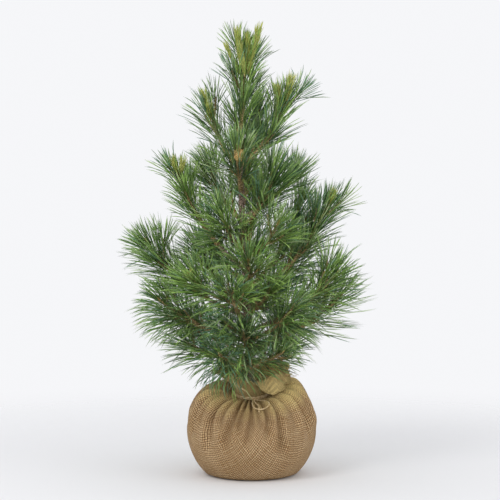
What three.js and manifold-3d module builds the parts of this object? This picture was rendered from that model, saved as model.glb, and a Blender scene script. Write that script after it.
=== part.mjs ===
// A young pine sapling, about 0.9 m tall, on a soil ball wrapped in burlap and tied with twine.
// Units are millimetres and +Z is up. The origin is the centre of the ball's flat underside, and
// the front of the plant, where the burlap is gathered lowest and tied, faces -Y.
//
// The plant is made the way it grows. A trunk stands in the soil. Boughs leave it in whorls, each
// one a curve that starts low and turns up. The outer stretch of each curve is a leafy shoot with
// side twigs, and each shoot or twig is a brush: a slim core whose facets are drawn out to needles.

import * as THREE from "three";
import { mergeVertices } from "three/addons/utils/BufferGeometryUtils.js";
import Module from "manifold-3d";

const wasm = await Module();
wasm.setup();

const { Vector3 } = THREE;
const { lerp, degToRad, clamp, smoothstep } = THREE.MathUtils;
const FULL_TURN = 2 * Math.PI;
const UP = new Vector3(0, 0, 1);
const GAP = 0.3; // clearance between pieces that touch

// ---------------------------------------------------------------- driving dimensions

const BALL = {
  radius: 127, // at the waist
  waistHeight: 86,
  footRadius: 80, // flat underside
  hemHeight: 4, // small round between the underside and the side
  lowerReach: 118, // how far below the waist the side's curve would close
  lowerPower: 2,
  neckRadius: 35,
  neckHeight: 159,
  neckBand: 12, // straight stretch under the twine
  neckTilt: 0.3, // the neck leans forwards: rise per millimetre towards +Y
  shoulder: 36, // bulge of the back and sides above the neck's slope
  frontSlack: 46, // how much less the front bulges, where the cloth is drawn tight
  rightBulge: 7, // how much more it bulges on the +X side
  fullness: 0.8,
  wall: 6, // burlap with its slack, between its smooth outside and the soil
  soilDip: 9, // how far the soil's level top lies below the neck
  soilTop: 20, // radius of that level top, where the trunk stands
};
const PLEAT = { count: 12, depth: 4.8, atNeck: 0.9 };
const COLLAR = {
  reach: 38,
  rise: 24,
  rightReach: 14, // how much further it flops over on the +X side
  frontReach: -18, // and how much less at the front, where it stands up
  frontRise: 16,
  ruffle: 6,
  waves: 8,
  cloth: 2.6,
};
const TWINE = {
  radius: 1.6,
  sides: 5,
  tight: 0.5, // what its facets need to clear the neck, where it is drawn tight
  slack: 1.2, // and where its ends lie loose on the pleats
  knot: 4.6,
  knotX: 8,
};
const AROUND = 48; // facets round the ball

const TRUNK = {
  footX: -4,
  foot: BALL.neckHeight - BALL.soilDip + GAP, // stands on the soil inside the neck
  tip: 642,
  lean: -0.032, // sideways drift per millimetre of height
  sway: 3,
  footRadius: 9,
  tipRadius: 4,
  flare: 5, // extra radius of the root flare at the foot
  flareHeight: 14,
  rings: 22,
  sides: 10,
};

const BOUGH = { footRadius: 4.8, tipRadius: 3.6, sides: 5, rings: 3, levelOut: 0.62, levelRise: 0.28 };
const SHOOT = {
  share: 0.66, // of a bough's length, where it isn't leafy from the trunk on
  rootRadius: 4.2,
  tipRadius: 3.2,
  sides: 4,
  ringStep: 13,
  bud: { low: 8, high: 22 },
};
const TWIG = {
  highest: 0.6, // shoots that stand higher in the crown than this are single
  spacing: 74, // along the shoot
  share: { low: 0.42, high: 0.3 }, // length, as a share of the shoot's
  shortest: 24,
  longest: 60,
  splay: { low: 44, high: 26 }, // degrees from the shoot
  radius: 3.4,
  bareShare: 0.4, // the inner part of a twig carries no needles
};
const NEEDLE = {
  length: 94,
  variation: 0.16, // share by which lengths differ either way
  rootSpread: { low: 54, high: 28 }, // degrees from the shoot at its foot, on low and high boughs
  tipSpread: { low: 14, high: 12 }, // and at its tip
  tipShare: 0.45, // length at the tip, as a share
  bareFoot: 12, // bare stretch at the foot of a shoot
  jitter: 2.4, // degrees
  droop: { low: 0.26, high: 0.04 }, // share of its length that a level needle hangs down
  halfWidth: 4,
  tries: [1, 0.78, 0.56, 0.38], // lengths tried, as shares, before a needle is left out
};

// One row for each bough, from the top down: the height of its foot on the trunk, its azimuth from +X
// in degrees, and the reach and rise of its tip from that foot. A direct one is leafy from the trunk on.
const BOUGHS = [
  { name: "upper_right", foot: 606, azimuth: 353, reach: 89, rise: 132, direct: true },
  { name: "upper_left", foot: 594, azimuth: 175, reach: 62, rise: 122, direct: true },
  { name: "upper_back", foot: 588, azimuth: 70, reach: 82, rise: 120, direct: true },
  { name: "upper_front", foot: 556, azimuth: 264, reach: 82, rise: 76, direct: true },
  { name: "high_back", foot: 526, azimuth: 80, reach: 90, rise: 86, direct: true },
  { name: "high_right_back", foot: 504, azimuth: 22, reach: 106, rise: 84 },
  { name: "high_left_back", foot: 496, azimuth: 147, reach: 79, rise: 108, direct: true },
  { name: "high_right_front", foot: 486, azimuth: 315, reach: 87, rise: 102, direct: true },
  { name: "high_left_front", foot: 440, azimuth: 245, reach: 101, rise: 68, direct: true },
  { name: "front_right", foot: 420, azimuth: 303, reach: 115, rise: 70, direct: true },
  { name: "tall_back", foot: 414, azimuth: 81, reach: 121, rise: 142 },
  { name: "tall_left", foot: 402, azimuth: 182, reach: 130, rise: 188 },
  { name: "back_high", foot: 392, azimuth: 89, reach: 88, rise: 78, direct: true },
  { name: "inner_left", foot: 374, azimuth: 146, reach: 72, rise: 72, direct: true },
  { name: "tall_right_inner", foot: 364, azimuth: 20, reach: 117, rise: 172, direct: true },
  { name: "mid_front", foot: 352, azimuth: 272, reach: 111, rise: 72 },
  { name: "tall_right", foot: 344, azimuth: 356, reach: 159, rise: 188 },
  { name: "mid_back_right", foot: 332, azimuth: 47, reach: 166, rise: 120 },
  { name: "mid_left_front", foot: 330, azimuth: 218, reach: 135, rise: 54 },
  { name: "mid_back_left", foot: 322, azimuth: 130, reach: 158, rise: 124 },
  { name: "inner_right", foot: 322, azimuth: 9, reach: 72, rise: 66, direct: true },
  { name: "inner_front", foot: 316, azimuth: 297, reach: 89, rise: 50, direct: true },
  { name: "wide_left", foot: 308, azimuth: 178, reach: 198, rise: 146 },
  { name: "back_low", foot: 298, azimuth: 82, reach: 94, rise: 58, direct: true },
  { name: "long_front", foot: 292, azimuth: 252, reach: 123, rise: 82 },
  { name: "wide_right", foot: 282, azimuth: 348, reach: 173, rise: 114 },
  { name: "inner_low_left", foot: 268, azimuth: 232, reach: 77, rise: 38, direct: true },
  { name: "low_right_front", foot: 262, azimuth: 310, reach: 129, rise: 74 },
  { name: "low_left", foot: 260, azimuth: 188, reach: 175, rise: 82 },
  { name: "far_right", foot: 248, azimuth: 4, reach: 181, rise: 102 },
  { name: "inner_low_front", foot: 240, azimuth: 262, reach: 87, rise: 44, direct: true },
  { name: "low_back_right", foot: 236, azimuth: 59, reach: 161, rise: 64 },
  { name: "inner_low_right", foot: 232, azimuth: 331, reach: 68, rise: 54, direct: true },
  { name: "low_back_left", foot: 226, azimuth: 121, reach: 163, rise: 62 },
  { name: "foot_front_right", foot: 218, azimuth: 309, reach: 101, rise: 28, direct: true },
  { name: "foot_left", foot: 214, azimuth: 172, reach: 127, rise: 44, direct: true },
  { name: "foot_right", foot: 210, azimuth: 29, reach: 98, rise: 44, direct: true },
  { name: "foot_front_left", foot: 208, azimuth: 234, reach: 98, rise: 34, direct: true },
  { name: "foot_front", foot: 202, azimuth: 271, reach: 83, rise: 30, direct: true },
];
const LEADER = { name: "leader", rise: 188, drift: 6 };

// ---------------------------------------------------------------- materials

const finish = (name, color, roughness) =>
  new THREE.MeshStandardMaterial({ name, color, roughness, metalness: 0 });

const BARK = finish("bark", 0x6b5140, 0.9);
const SHOOT_BARK = finish("shoot_bark", 0x7d6a45, 0.85);
const NEEDLES = finish("needles", 0x33642c, 0.55);
const BURLAP = finish("burlap", 0xa07f57, 0.95);
const SOIL = finish("soil", 0x3b2a1e, 1);
const TWINE_FIBRE = finish("twine", 0xc9b083, 0.9);

// ---------------------------------------------------------------- helpers

// A seeded sequence of numbers from 0 to 1, the same on every run.
function seeded(seed) {
  let state = seed >>> 0;
  return () => {
    state = (state + 0x6d2b79f5) >>> 0;
    let t = state;
    t = Math.imul(t ^ (t >>> 15), t | 1);
    t ^= t + Math.imul(t ^ (t >>> 7), t | 61);
    return ((t ^ (t >>> 14)) >>> 0) / 4294967296;
  };
}

const around = (sides, place) => Array.from({ length: sides }, (_, j) => place((j / sides) * FULL_TURN, j));

// A geometry from points and triangles that index them.
function geometryFrom(points, triangles) {
  const positions = new Float32Array(points.flatMap((p) => [p.x, p.y, p.z]));
  return new THREE.BufferGeometry()
    .setAttribute("position", new THREE.BufferAttribute(positions, 3))
    .setIndex(triangles.flat());
}

// The triangles of a skin over rings of equal count. Seen from its far end, each ring runs anticlockwise.
function skinTriangles(ringCount, sides) {
  const triangles = [];
  for (let i = 0; i + 1 < ringCount; i++)
    for (let j = 0; j < sides; j++) {
      const near = i * sides + j;
      const nearNext = i * sides + ((j + 1) % sides);
      triangles.push([near, nearNext, nearNext + sides], [near, nearNext + sides, near + sides]);
    }
  return triangles;
}

// Flat caps on the first and last ring.
function capTriangles(ringCount, sides) {
  const triangles = [];
  const last = (ringCount - 1) * sides;
  for (let j = 1; j + 1 < sides; j++) triangles.push([0, j + 1, j], [last, last + j, last + j + 1]);
  return triangles;
}

const skin = (rings) =>
  geometryFrom(rings.flat(), [
    ...skinTriangles(rings.length, rings[0].length),
    ...capTriangles(rings.length, rings[0].length),
  ]);

// The same surface with its facets facing the other way.
function turnedOver(geometry) {
  const index = geometry.index.array;
  for (let i = 0; i < index.length; i += 3) [index[i + 1], index[i + 2]] = [index[i + 2], index[i + 1]];
  return geometry;
}

// Rings of a round bar along a curve. Every second ring is turned by half a side where stagger is set.
function barRings(curve, radiusAt, steps, sides, stagger = 0) {
  const frames = curve.computeFrenetFrames(steps, false);
  return Array.from({ length: steps + 1 }, (_, i) => {
    const centre = curve.getPointAt(i / steps);
    const radius = radiusAt(i / steps);
    return around(sides, (angle) => {
      const turned = angle + ((i % 2) * stagger * FULL_TURN) / sides / 2;
      return centre
        .clone()
        .addScaledVector(frames.normals[i], radius * Math.cos(turned))
        .addScaledVector(frames.binormals[i], radius * Math.sin(turned));
    });
  });
}

function solidOf(geometry) {
  const bare = geometry.clone();
  bare.deleteAttribute("normal");
  bare.deleteAttribute("uv");
  const merged = mergeVertices(bare);
  return new wasm.Manifold(
    new wasm.Mesh({
      numProp: 3,
      vertProperties: new Float32Array(merged.attributes.position.array),
      triVerts: new Uint32Array(merged.index.array),
    }),
  );
}

function geometryOf(solid) {
  const mesh = solid.getMesh();
  return new THREE.BufferGeometry()
    .setAttribute("position", new THREE.BufferAttribute(mesh.vertProperties, 3))
    .setIndex(new THREE.BufferAttribute(mesh.triVerts, 1));
}

// The largest piece of a solid, which drops the slivers that a cut can leave.
const largestPiece = (solid) => solid.decompose().reduce((a, b) => (b.volume() > a.volume() ? b : a));

function node(name, geometry, material) {
  const mesh = new THREE.Mesh(geometry, material);
  mesh.name = name;
  return mesh;
}

// ---------------------------------------------------------------- root ball

// How far round an azimuth faces the front, from 0 at the back to 1 at the front.
const frontness = (angle) => (1 - Math.sin(angle)) / 2;

// The height of the tilted neck's foot below a point at this radius and azimuth.
const neckPlane = (radius, angle) => BALL.neckHeight + BALL.neckTilt * radius * Math.sin(angle);

// Pleats are uneven: their phase drifts round the ball.
const pleatWave = (angle) =>
  Math.cos(PLEAT.count * angle + 2 * Math.cos(angle) + 0.7 * Math.sin(3 * angle + 2));

const ringPoint = (radius, angle, height) =>
  new Vector3(radius * Math.cos(angle), radius * Math.sin(angle), height);

// The side below the waist, where rise is 0 at the ground and 1 at the waist.
function lowerPoint(angle, rise) {
  const drop = (1 - rise) * BALL.waistHeight;
  const radius = BALL.radius * Math.sqrt(1 - (drop / BALL.lowerReach) ** BALL.lowerPower);
  return ringPoint(radius, angle, BALL.waistHeight - drop);
}

// The shoulder above the waist, where climb is 0 at the waist and 1 at the neck.
function upperPoint(angle, climb) {
  const turn = (climb * Math.PI) / 2;
  const radius = lerp(BALL.neckRadius, BALL.radius, Math.max(0, Math.cos(turn)) ** BALL.fullness);
  const fullest = BALL.shoulder - BALL.frontSlack * frontness(angle) ** 4 + BALL.rightBulge * Math.cos(angle);
  const bulge = fullest * Math.sin(turn) ** 2 * Math.sin(2 * turn);
  const slope = (neckPlane(BALL.neckRadius, angle) - BALL.waistHeight) * Math.sin(turn);
  return ringPoint(radius, angle, BALL.waistHeight + slope + bulge);
}

// A point moved straight towards the middle of the ball.
function sunk(point, depth) {
  const middle = new Vector3(0, 0, BALL.waistHeight);
  return point.clone().sub(middle).multiplyScalar(1 - depth / point.distanceTo(middle)).add(middle);
}

// Pleats stand out of the shoulder. At the neck they are squeezed flat.
const pleatDepth = (climb) => lerp(PLEAT.depth, PLEAT.atNeck, smoothstep(climb, 0.62, 1));

// They fade towards the waist, and reach furthest down at the front.
function pleated(point, angle, climb) {
  const fadeIn = smoothstep(climb, 0.04, 0.5 - 0.2 * frontness(angle));
  return sunk(point, -pleatDepth(climb) * fadeIn * pleatWave(angle));
}

// The gathered edge above the twine, where spread is 0 at the neck and 1 at the rim.
function collarPoint(angle, spread, lift) {
  const right = Math.max(0, Math.cos(angle - 0.25)) * COLLAR.rightReach;
  const reach = COLLAR.reach + right + COLLAR.frontReach * frontness(angle) ** 2;
  const wave = COLLAR.waves * angle + 1.3 * Math.sin(2 * angle);
  const radius = BALL.neckRadius + spread * (reach + COLLAR.ruffle * Math.cos(wave));
  const front = COLLAR.frontRise * frontness(angle) ** 2;
  const rise = (COLLAR.rise + front) * spread ** 0.75 + 0.5 * COLLAR.ruffle * spread * Math.sin(wave);
  return ringPoint(radius, angle, neckPlane(radius, angle) + BALL.neckBand + rise + lift);
}

function burlapRings() {
  const rings = [around(AROUND, (a) => ringPoint(BALL.footRadius, a, 0))];
  const lowerSteps = 4;
  const hem = BALL.hemHeight / BALL.waistHeight;
  for (let i = 0; i < lowerSteps; i++)
    rings.push(around(AROUND, (a) => lowerPoint(a, lerp(hem, 1, (i / lowerSteps) ** 1.2))));
  const upperSteps = 8;
  for (let i = 0; i <= upperSteps; i++)
    rings.push(around(AROUND, (a) => pleated(upperPoint(a, i / upperSteps), a, i / upperSteps)));
  for (const spread of [0, 0.45, 1]) rings.push(around(AROUND, (a) => collarPoint(a, spread, 0)));
  for (const spread of [1, 0.3])
    rings.push(around(AROUND, (a) => collarPoint(a, spread, COLLAR.cloth)));
  const throat = BALL.neckRadius - BALL.wall;
  rings.push(around(AROUND, (a) => ringPoint(throat, a, neckPlane(throat, a) + BALL.neckBand + 3)));
  return [...rings, ...wallRings(BALL.wall)];
}

// The inside of the wrap, from the neck down to its floor.
function wallRings(depth) {
  const radius = BALL.neckRadius - depth;
  const neck = around(AROUND, (a) => ringPoint(radius, a, neckPlane(radius, a) - depth - 2));
  const upper = [0.85, 0.6, 0.35, 0].map((climb) =>
    around(AROUND, (a) => sunk(upperPoint(a, climb), depth + PLEAT.depth * 0.6)),
  );
  const lower = [0.5].map((rise) => around(AROUND, (a) => sunk(lowerPoint(a, rise), depth)));
  const floor = around(AROUND, (a) => ringPoint(BALL.footRadius - depth, a, depth));
  return [neck, ...upper, ...lower, floor];
}

// The soil shares the facets of the wrap's inside, turned to face outwards, under a level top.
function soilBall() {
  const top = around(AROUND, (a) => ringPoint(BALL.soilTop, a, BALL.neckHeight - BALL.soilDip));
  return turnedOver(skin([top, ...wallRings(BALL.wall + GAP)]));
}

// ---------------------------------------------------------------- twine

// A closed loop of twine that follows the tilted neck.
function twineTurn(height) {
  const radius = BALL.neckRadius + TWINE.radius + TWINE.tight;
  const steps = 24;
  const rings = Array.from({ length: steps }, (_, i) => {
    const angle = (i / steps) * FULL_TURN;
    return around(TWINE.sides, (section) =>
      ringPoint(
        radius + TWINE.radius * Math.cos(section),
        angle,
        neckPlane(radius, angle) + height + TWINE.radius * Math.sin(section),
      ),
    );
  });
  const triangles = skinTriangles(steps + 1, TWINE.sides).map((t) =>
    t.map((index) => index % (steps * TWINE.sides)),
  );
  return solidOf(turnedOver(geometryFrom(rings.flat(), triangles)));
}

// A point of a strand that lies on the pleats, so far round from the front and so far up the shoulder.
function onPleats([turn, climb]) {
  const lift = pleatDepth(climb) + TWINE.radius + TWINE.slack;
  return sunk(upperPoint(turn - Math.PI / 2, climb), -lift);
}

// A knot at the front, with one slack loop over the pleats, a tail beside it and a long tail that
// stands up in front of the collar.
function twineStrands() {
  const knot = new Vector3(TWINE.knotX, -(BALL.neckRadius + TWINE.knot), 0);
  knot.z = neckPlane(knot.length(), -Math.PI / 2) + BALL.neckBand / 2;
  const loop = [[0.06, 0.86], [0.1, 0.75], [0.24, 0.68], [0.4, 0.74], [0.42, 0.86]].map(onPleats);
  const shortTail = [[0.16, 0.88], [0.2, 0.78], [0.17, 0.62]].map(onPleats);
  const fromKnot = (x, y, z) => knot.clone().add(new Vector3(x, y, z));
  const longTail = [fromKnot(-9, -15, 4), fromKnot(-19, -22, 15), fromKnot(-33, -19, 28)];
  const strands = [[...loop, fromKnot(1, 0, 0)], shortTail, longTail];
  return { knot, strands: strands.map((points) => new THREE.CatmullRomCurve3([knot, ...points])) };
}

function twineTie() {
  const { knot, strands } = twineStrands();
  const place = new THREE.Matrix4().makeTranslation(knot.x, knot.y, knot.z);
  const knotBall = new THREE.IcosahedronGeometry(TWINE.knot, 0).applyMatrix4(place);
  const bars = strands.map((curve) =>
    solidOf(skin(barRings(curve, () => TWINE.radius, Math.ceil(1.7 * curve.points.length), TWINE.sides))),
  );
  const turns = [0.46, 0.73].map((share) => twineTurn(BALL.neckBand * share));
  return geometryOf(wasm.Manifold.union([...turns, solidOf(knotBall), ...bars]));
}

// ---------------------------------------------------------------- trunk and boughs

function trunkAxis(height) {
  const share = (height - TRUNK.foot) / (TRUNK.tip - TRUNK.foot);
  const sway = TRUNK.sway * Math.sin(FULL_TURN * share);
  return new Vector3(TRUNK.footX + TRUNK.lean * (height - TRUNK.foot) + sway, -sway / 2, height);
}

function trunkRadius(height) {
  const share = (height - TRUNK.foot) / (TRUNK.tip - TRUNK.foot);
  const flare = TRUNK.flare * Math.exp(-(height - TRUNK.foot) / TRUNK.flareHeight);
  return lerp(TRUNK.footRadius, TRUNK.tipRadius, share) + flare;
}

// The trunk stands on level rings, so that its foot is a flat cut. A clearance makes it that much fatter.
function trunkSkin(clearance) {
  const rings = Array.from({ length: TRUNK.rings + 1 }, (_, i) => {
    const height = lerp(TRUNK.foot, TRUNK.tip, (i / TRUNK.rings) ** 1.3);
    const buttress = TRUNK.flare * 0.25 * Math.exp(-(height - TRUNK.foot) / TRUNK.flareHeight);
    return around(TRUNK.sides, (a) =>
      ringPoint(trunkRadius(height) + clearance + buttress * Math.cos(5 * a), a, 0).add(trunkAxis(height)),
    );
  });
  return skin(rings);
}

// The stretch of a quadratic curve between two of its parameters.
function stretch(curve, from, to) {
  const blend = (s, t) =>
    curve.v0.clone().multiplyScalar((1 - s) * (1 - t))
      .addScaledVector(curve.v1, (1 - s) * t + s * (1 - t))
      .addScaledVector(curve.v2, s * t);
  return new THREE.QuadraticBezierCurve3(blend(from, from), blend(from, to), blend(to, to));
}

// A bough leaves the trunk nearly level and turns up towards its tip.
function boughCurve({ foot, azimuth, reach, rise }) {
  const start = trunkAxis(foot);
  const out = new Vector3(Math.cos(degToRad(azimuth)), Math.sin(degToRad(azimuth)), 0);
  const along = (outShare, upShare) =>
    start.clone().addScaledVector(out, reach * outShare).addScaledVector(UP, rise * upShare);
  return new THREE.QuadraticBezierCurve3(start, along(BOUGH.levelOut, BOUGH.levelRise), along(1, 1));
}

// ---------------------------------------------------------------- needles and the space they keep to

// Every limb and every leafy core is kept as short straight lines with a radius.
const lines = [];

function addLines(curve, radiusAt, steps, owner) {
  for (let i = 0; i < steps; i++) {
    const a = curve.getPointAt(i / steps);
    const b = curve.getPointAt((i + 1) / steps);
    lines.push({ a, ab: b.sub(a), radius: radiusAt(i / steps), owner });
  }
}

function distanceToLine(p, { a, ab }) {
  const x = p.x - a.x;
  const y = p.y - a.y;
  const z = p.z - a.z;
  const t = clamp((x * ab.x + y * ab.y + z * ab.z) / ab.lengthSq(), 0, 1);
  return Math.hypot(x - t * ab.x, y - t * ab.y, z - t * ab.z);
}

// The root ball and its collar, a little swollen, as needles have to clear them.
function clearOfBall(p) {
  const radius = Math.hypot(p.x, p.y);
  const angle = Math.atan2(p.y, p.x);
  const rim = BALL.neckRadius + COLLAR.reach + COLLAR.rightReach + COLLAR.ruffle;
  const front = COLLAR.frontRise * frontness(angle) ** 2;
  const collarTop = neckPlane(radius, angle) + BALL.neckBand + COLLAR.rise + front + COLLAR.ruffle + 4;
  if (radius < rim && p.z < collarTop) return false;
  const swell = 16;
  const top = BALL.neckHeight + BALL.shoulder * 0.75 - BALL.waistHeight + swell;
  return (radius / (BALL.radius + swell)) ** 2 + ((p.z - BALL.waistHeight) / top) ** 2 > 1;
}

// True where a point that is this thick lies in its owner's own space: nearer to its own core than to
// any other, and clear of the limbs.
function ownSpace(p, thickness, owner) {
  if (!clearOfBall(p)) return false;
  let own = Infinity;
  for (const line of lines) if (line.owner === owner) own = Math.min(own, distanceToLine(p, line));
  return lines.every((line) => {
    if (line.owner === owner) return true;
    const distance = distanceToLine(p, line);
    return line.owner.endsWith("_limb")
      ? distance > line.radius + thickness + 2 * GAP
      : distance > own + 2 * thickness + 2 * GAP;
  });
}

function needleStays(foot, tip, owner) {
  return [0.15, 0.35, 0.6, 0.8, 1].every((share) =>
    ownSpace(foot.clone().lerp(tip, share), NEEDLE.halfWidth * (1 - share) + GAP, owner),
  );
}

// The tip of a needle that grows from a facet of a core, or null where it would leave its space.
function needleTip(facet, share, tangent, random, { owner, height }, coreCentre) {
  const foot = facet[0].clone().add(facet[1]).add(facet[2]).divideScalar(3);
  const outwards = foot.clone().sub(coreCentre);
  outwards.addScaledVector(tangent, -outwards.dot(tangent)).normalize();
  const rootSpread = lerp(NEEDLE.rootSpread.low, NEEDLE.rootSpread.high, height);
  const tipSpread = lerp(NEEDLE.tipSpread.low, NEEDLE.tipSpread.high, height);
  const spread = degToRad(lerp(rootSpread, tipSpread, share ** 2) + (2 * random() - 1) * NEEDLE.jitter);
  const direction = tangent.clone().multiplyScalar(Math.cos(spread));
  direction.addScaledVector(outwards, Math.sin(spread));
  direction.z -= lerp(NEEDLE.droop.low, NEEDLE.droop.high, height) * Math.hypot(direction.x, direction.y);
  direction.normalize();
  const youth = lerp(1, NEEDLE.tipShare, share ** 4);
  const length = NEEDLE.length * youth * (1 + (2 * random() - 1) * NEEDLE.variation);
  for (const shorter of NEEDLE.tries) {
    const tip = foot.clone().addScaledVector(direction, length * shorter);
    if (needleStays(foot, tip, owner)) return tip;
  }
  return null;
}

// A brush: a slim core along a curve, with most of its facets drawn out into needles.
function brush({ curve, rootRadius, owner, height, seed, bare }) {
  const random = seeded(seed);
  const bareShare = bare / curve.getLength();
  const { sides } = SHOOT;
  const steps = Math.max(2, Math.round(curve.getLength() / SHOOT.ringStep));
  const rings = barRings(curve, (t) => lerp(rootRadius, SHOOT.tipRadius, t), steps, sides, 1);
  const points = rings.flat();
  const tipIndex = points.length;
  const budLength = lerp(SHOOT.bud.low, SHOOT.bud.high, height);
  points.push(curve.getPointAt(1).addScaledVector(curve.getTangentAt(1), budLength));
  const last = steps * sides;
  const bud = around(sides, (_, j) => [last + j, last + ((j + 1) % sides), tipIndex]);
  const footCap = capTriangles(1, sides).filter((_, i) => i % 2 === 0);
  const triangles = [...footCap];
  [...skinTriangles(steps + 1, sides), ...bud].forEach((facet) => {
    const corners = facet.map((index) => points[index]);
    const ring = facet.reduce((sum, index) => sum + Math.min(steps, Math.floor(index / sides)), 0) / 3;
    const share = ring / steps;
    const tangent = curve.getTangentAt(share);
    const centre = curve.getPointAt(share);
    const tip =
      share > bareShare && needleTip(corners, share, tangent, random, { owner, height }, centre);
    if (!tip) {
      triangles.push(facet);
      return;
    }
    const index = points.push(tip) - 1;
    const [a, b, c] = facet;
    triangles.push([a, b, index], [b, c, index], [c, a, index]);
  });
  return solidOf(geometryFrom(points, triangles));
}

// ---------------------------------------------------------------- leafy shoots

// A twig that leaves a shoot part of the way along, turned so far round it, and curls up a little.
function twigCurve(shootCurve, along, turn, splay, size) {
  const root = shootCurve.getPointAt(along);
  const tangent = shootCurve.getTangentAt(along);
  const across = new Vector3(-tangent.y, tangent.x, 0.001).cross(tangent).normalize();
  const side = across.clone().multiplyScalar(Math.cos(turn))
    .addScaledVector(tangent.clone().cross(across), Math.sin(turn));
  const direction = tangent.clone().multiplyScalar(Math.cos(splay)).addScaledVector(side, Math.sin(splay));
  const bend = root.clone().addScaledVector(direction, size * 0.6);
  const tip = root.clone().addScaledVector(direction, size).addScaledVector(UP, size * 0.2);
  return new THREE.QuadraticBezierCurve3(root, bend, tip);
}

// Side twigs leave a shoot at even steps, each about a golden angle further round.
function sideTwigs(shootCurve, height, random) {
  const length = shootCurve.getLength();
  const splay = degToRad(lerp(TWIG.splay.low, TWIG.splay.high, height));
  const count = Math.max(1, Math.round(length / TWIG.spacing));
  return Array.from({ length: count }, (_, k) => {
    const along = (k + 0.45 + 0.3 * random()) / (count + 0.6);
    const turn = 2.4 * k + 0.8 + random() * 1.2;
    const share = lerp(TWIG.share.low, TWIG.share.high, height) * (0.85 + 0.3 * random());
    const size = clamp(length * share, TWIG.shortest, TWIG.longest);
    return twigCurve(shootCurve, along, turn, splay, size);
  });
}

// A side twig is left out where it would come too near a limb or another core.
function twigFits(curve, allowed) {
  return [0.45, 0.7, 1].every((share) => {
    const p = curve.getPointAt(share);
    return clearOfBall(p) && lines.every((line) =>
      line.owner === allowed || distanceToLine(p, line) > line.radius + TWIG.radius * 2.4,
    );
  });
}

// ---------------------------------------------------------------- the plan of the plant

// How high the tip of a bough stands, from 0 at the skirt to 1 in the upper crown. Higher shoots are tighter.
const heightShare = ({ foot, rise }) => clamp((foot + rise - 240) / 330, 0, 1);

function leaderPlan() {
  const tip = trunkAxis(TRUNK.tip).addScaledVector(UP, GAP);
  const bend = tip.clone().addScaledVector(UP, LEADER.rise / 2);
  const end = tip.clone().add(new Vector3(LEADER.drift, 0, LEADER.rise));
  return { ...LEADER, height: 1, bare: 0, curve: new THREE.QuadraticBezierCurve3(tip, bend, end) };
}

// Splits a bough's curve into its limb and its leafy shoot. A direct one is leafy right from the trunk.
function boughPlan(plan) {
  const whole = boughCurve(plan);
  const length = whole.getLength();
  const height = heightShare(plan);
  const girth = lerp(1.12, 0.8, height);
  const bare = NEEDLE.bareFoot;
  if (plan.direct) {
    const start = (0.5 * trunkRadius(plan.foot)) / length;
    return { ...plan, height, bare: 1.6 * bare, curve: stretch(whole, start, 1) };
  }
  const split = 1 - SHOOT.share;
  const limb = { curve: stretch(whole, 0, split), girth };
  return { ...plan, height, bare, limb, curve: stretch(whole, split + GAP / length, 1) };
}

// Lays out every core before any needle grows, so that each needle knows the space it has.
function plantPlan() {
  const trunkLine = new THREE.LineCurve3(trunkAxis(TRUNK.foot), trunkAxis(TRUNK.tip));
  for (let i = 0; i < TRUNK.rings; i++) {
    const [from, to] = [i, i + 1].map((k) => trunkAxis(lerp(TRUNK.foot, trunkLine.v2.z, k / TRUNK.rings)));
    addLines(new THREE.LineCurve3(from, to), () => trunkRadius(from.z), 1, "trunk_limb");
  }
  for (const strand of twineStrands().strands) addLines(strand, () => TWINE.radius, 8, "twine_limb");
  const shoots = [leaderPlan(), ...BOUGHS.map(boughPlan)];
  for (const { name, limb } of shoots)
    if (limb) addLines(limb.curve, () => BOUGH.footRadius * limb.girth, 4, `${name}_limb`);
  for (const { name, curve } of shoots) addLines(curve, () => SHOOT.rootRadius, 5, name);
  shoots.forEach((shoot, i) => {
    const { name, curve, height, bare } = shoot;
    const random = seeded(i + 1);
    shoot.brushes = [{ curve, rootRadius: SHOOT.rootRadius, owner: name, height, bare, seed: 100 + i }];
    const twigs = height < TWIG.highest ? sideTwigs(curve, height, random) : [];
    twigs.forEach((twig, k) => {
      if (!twigFits(twig, name)) return;
      const owner = `${name}_twig_${k}`;
      const bare = TWIG.bareShare * twig.getLength();
      const rootRadius = TWIG.radius;
      addLines(stretch(twig, TWIG.bareShare, 1), () => rootRadius, 3, owner);
      shoot.brushes.push({ curve: twig, rootRadius, owner, height, bare, seed: 31 * i + k });
    });
  });
  return shoots;
}

// ---------------------------------------------------------------- assembly

const plant = new THREE.Group();
plant.name = "pine_sapling";
plant.add(node("root_ball_soil", soilBall(), SOIL));
plant.add(node("root_ball_burlap", skin(burlapRings()), BURLAP));
plant.add(node("twine_tie", twineTie(), TWINE_FIBRE));
plant.add(node("trunk", trunkSkin(0), BARK));

const shoots = plantPlan();
const trunkAndGap = solidOf(trunkSkin(GAP));

for (const { name, limb } of shoots) {
  if (!limb) continue;
  const radiusAt = (t) => lerp(BOUGH.footRadius * limb.girth, BOUGH.tipRadius, t);
  const bar = solidOf(skin(barRings(limb.curve, radiusAt, BOUGH.rings, BOUGH.sides)));
  plant.add(node(`bough_${name}`, geometryOf(largestPiece(bar.subtract(trunkAndGap))), SHOOT_BARK));
}

for (const { name, brushes, direct } of shoots) {
  const whole = brushes.map(brush).reduce((sum, part) => sum.add(part));
  const clear = direct ? whole.subtract(trunkAndGap) : whole;
  plant.add(node(`needles_${name}`, geometryOf(largestPiece(clear)), NEEDLES));
}

export default plant;
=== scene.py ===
# %% [markdown]
# # A pine sapling on a burlap-wrapped root ball
# A nursery lifts a young long-needled pine with a ball of its own soil, folds burlap round the
# ball and ties the cloth at the foot of the trunk with twine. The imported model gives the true
# size and place of every limb and of the ball. This notebook keeps that frame and makes on it
# what solids can't carry: scaly bark, some thirty thousand needles, pleated cloth and twisted twine.

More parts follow.
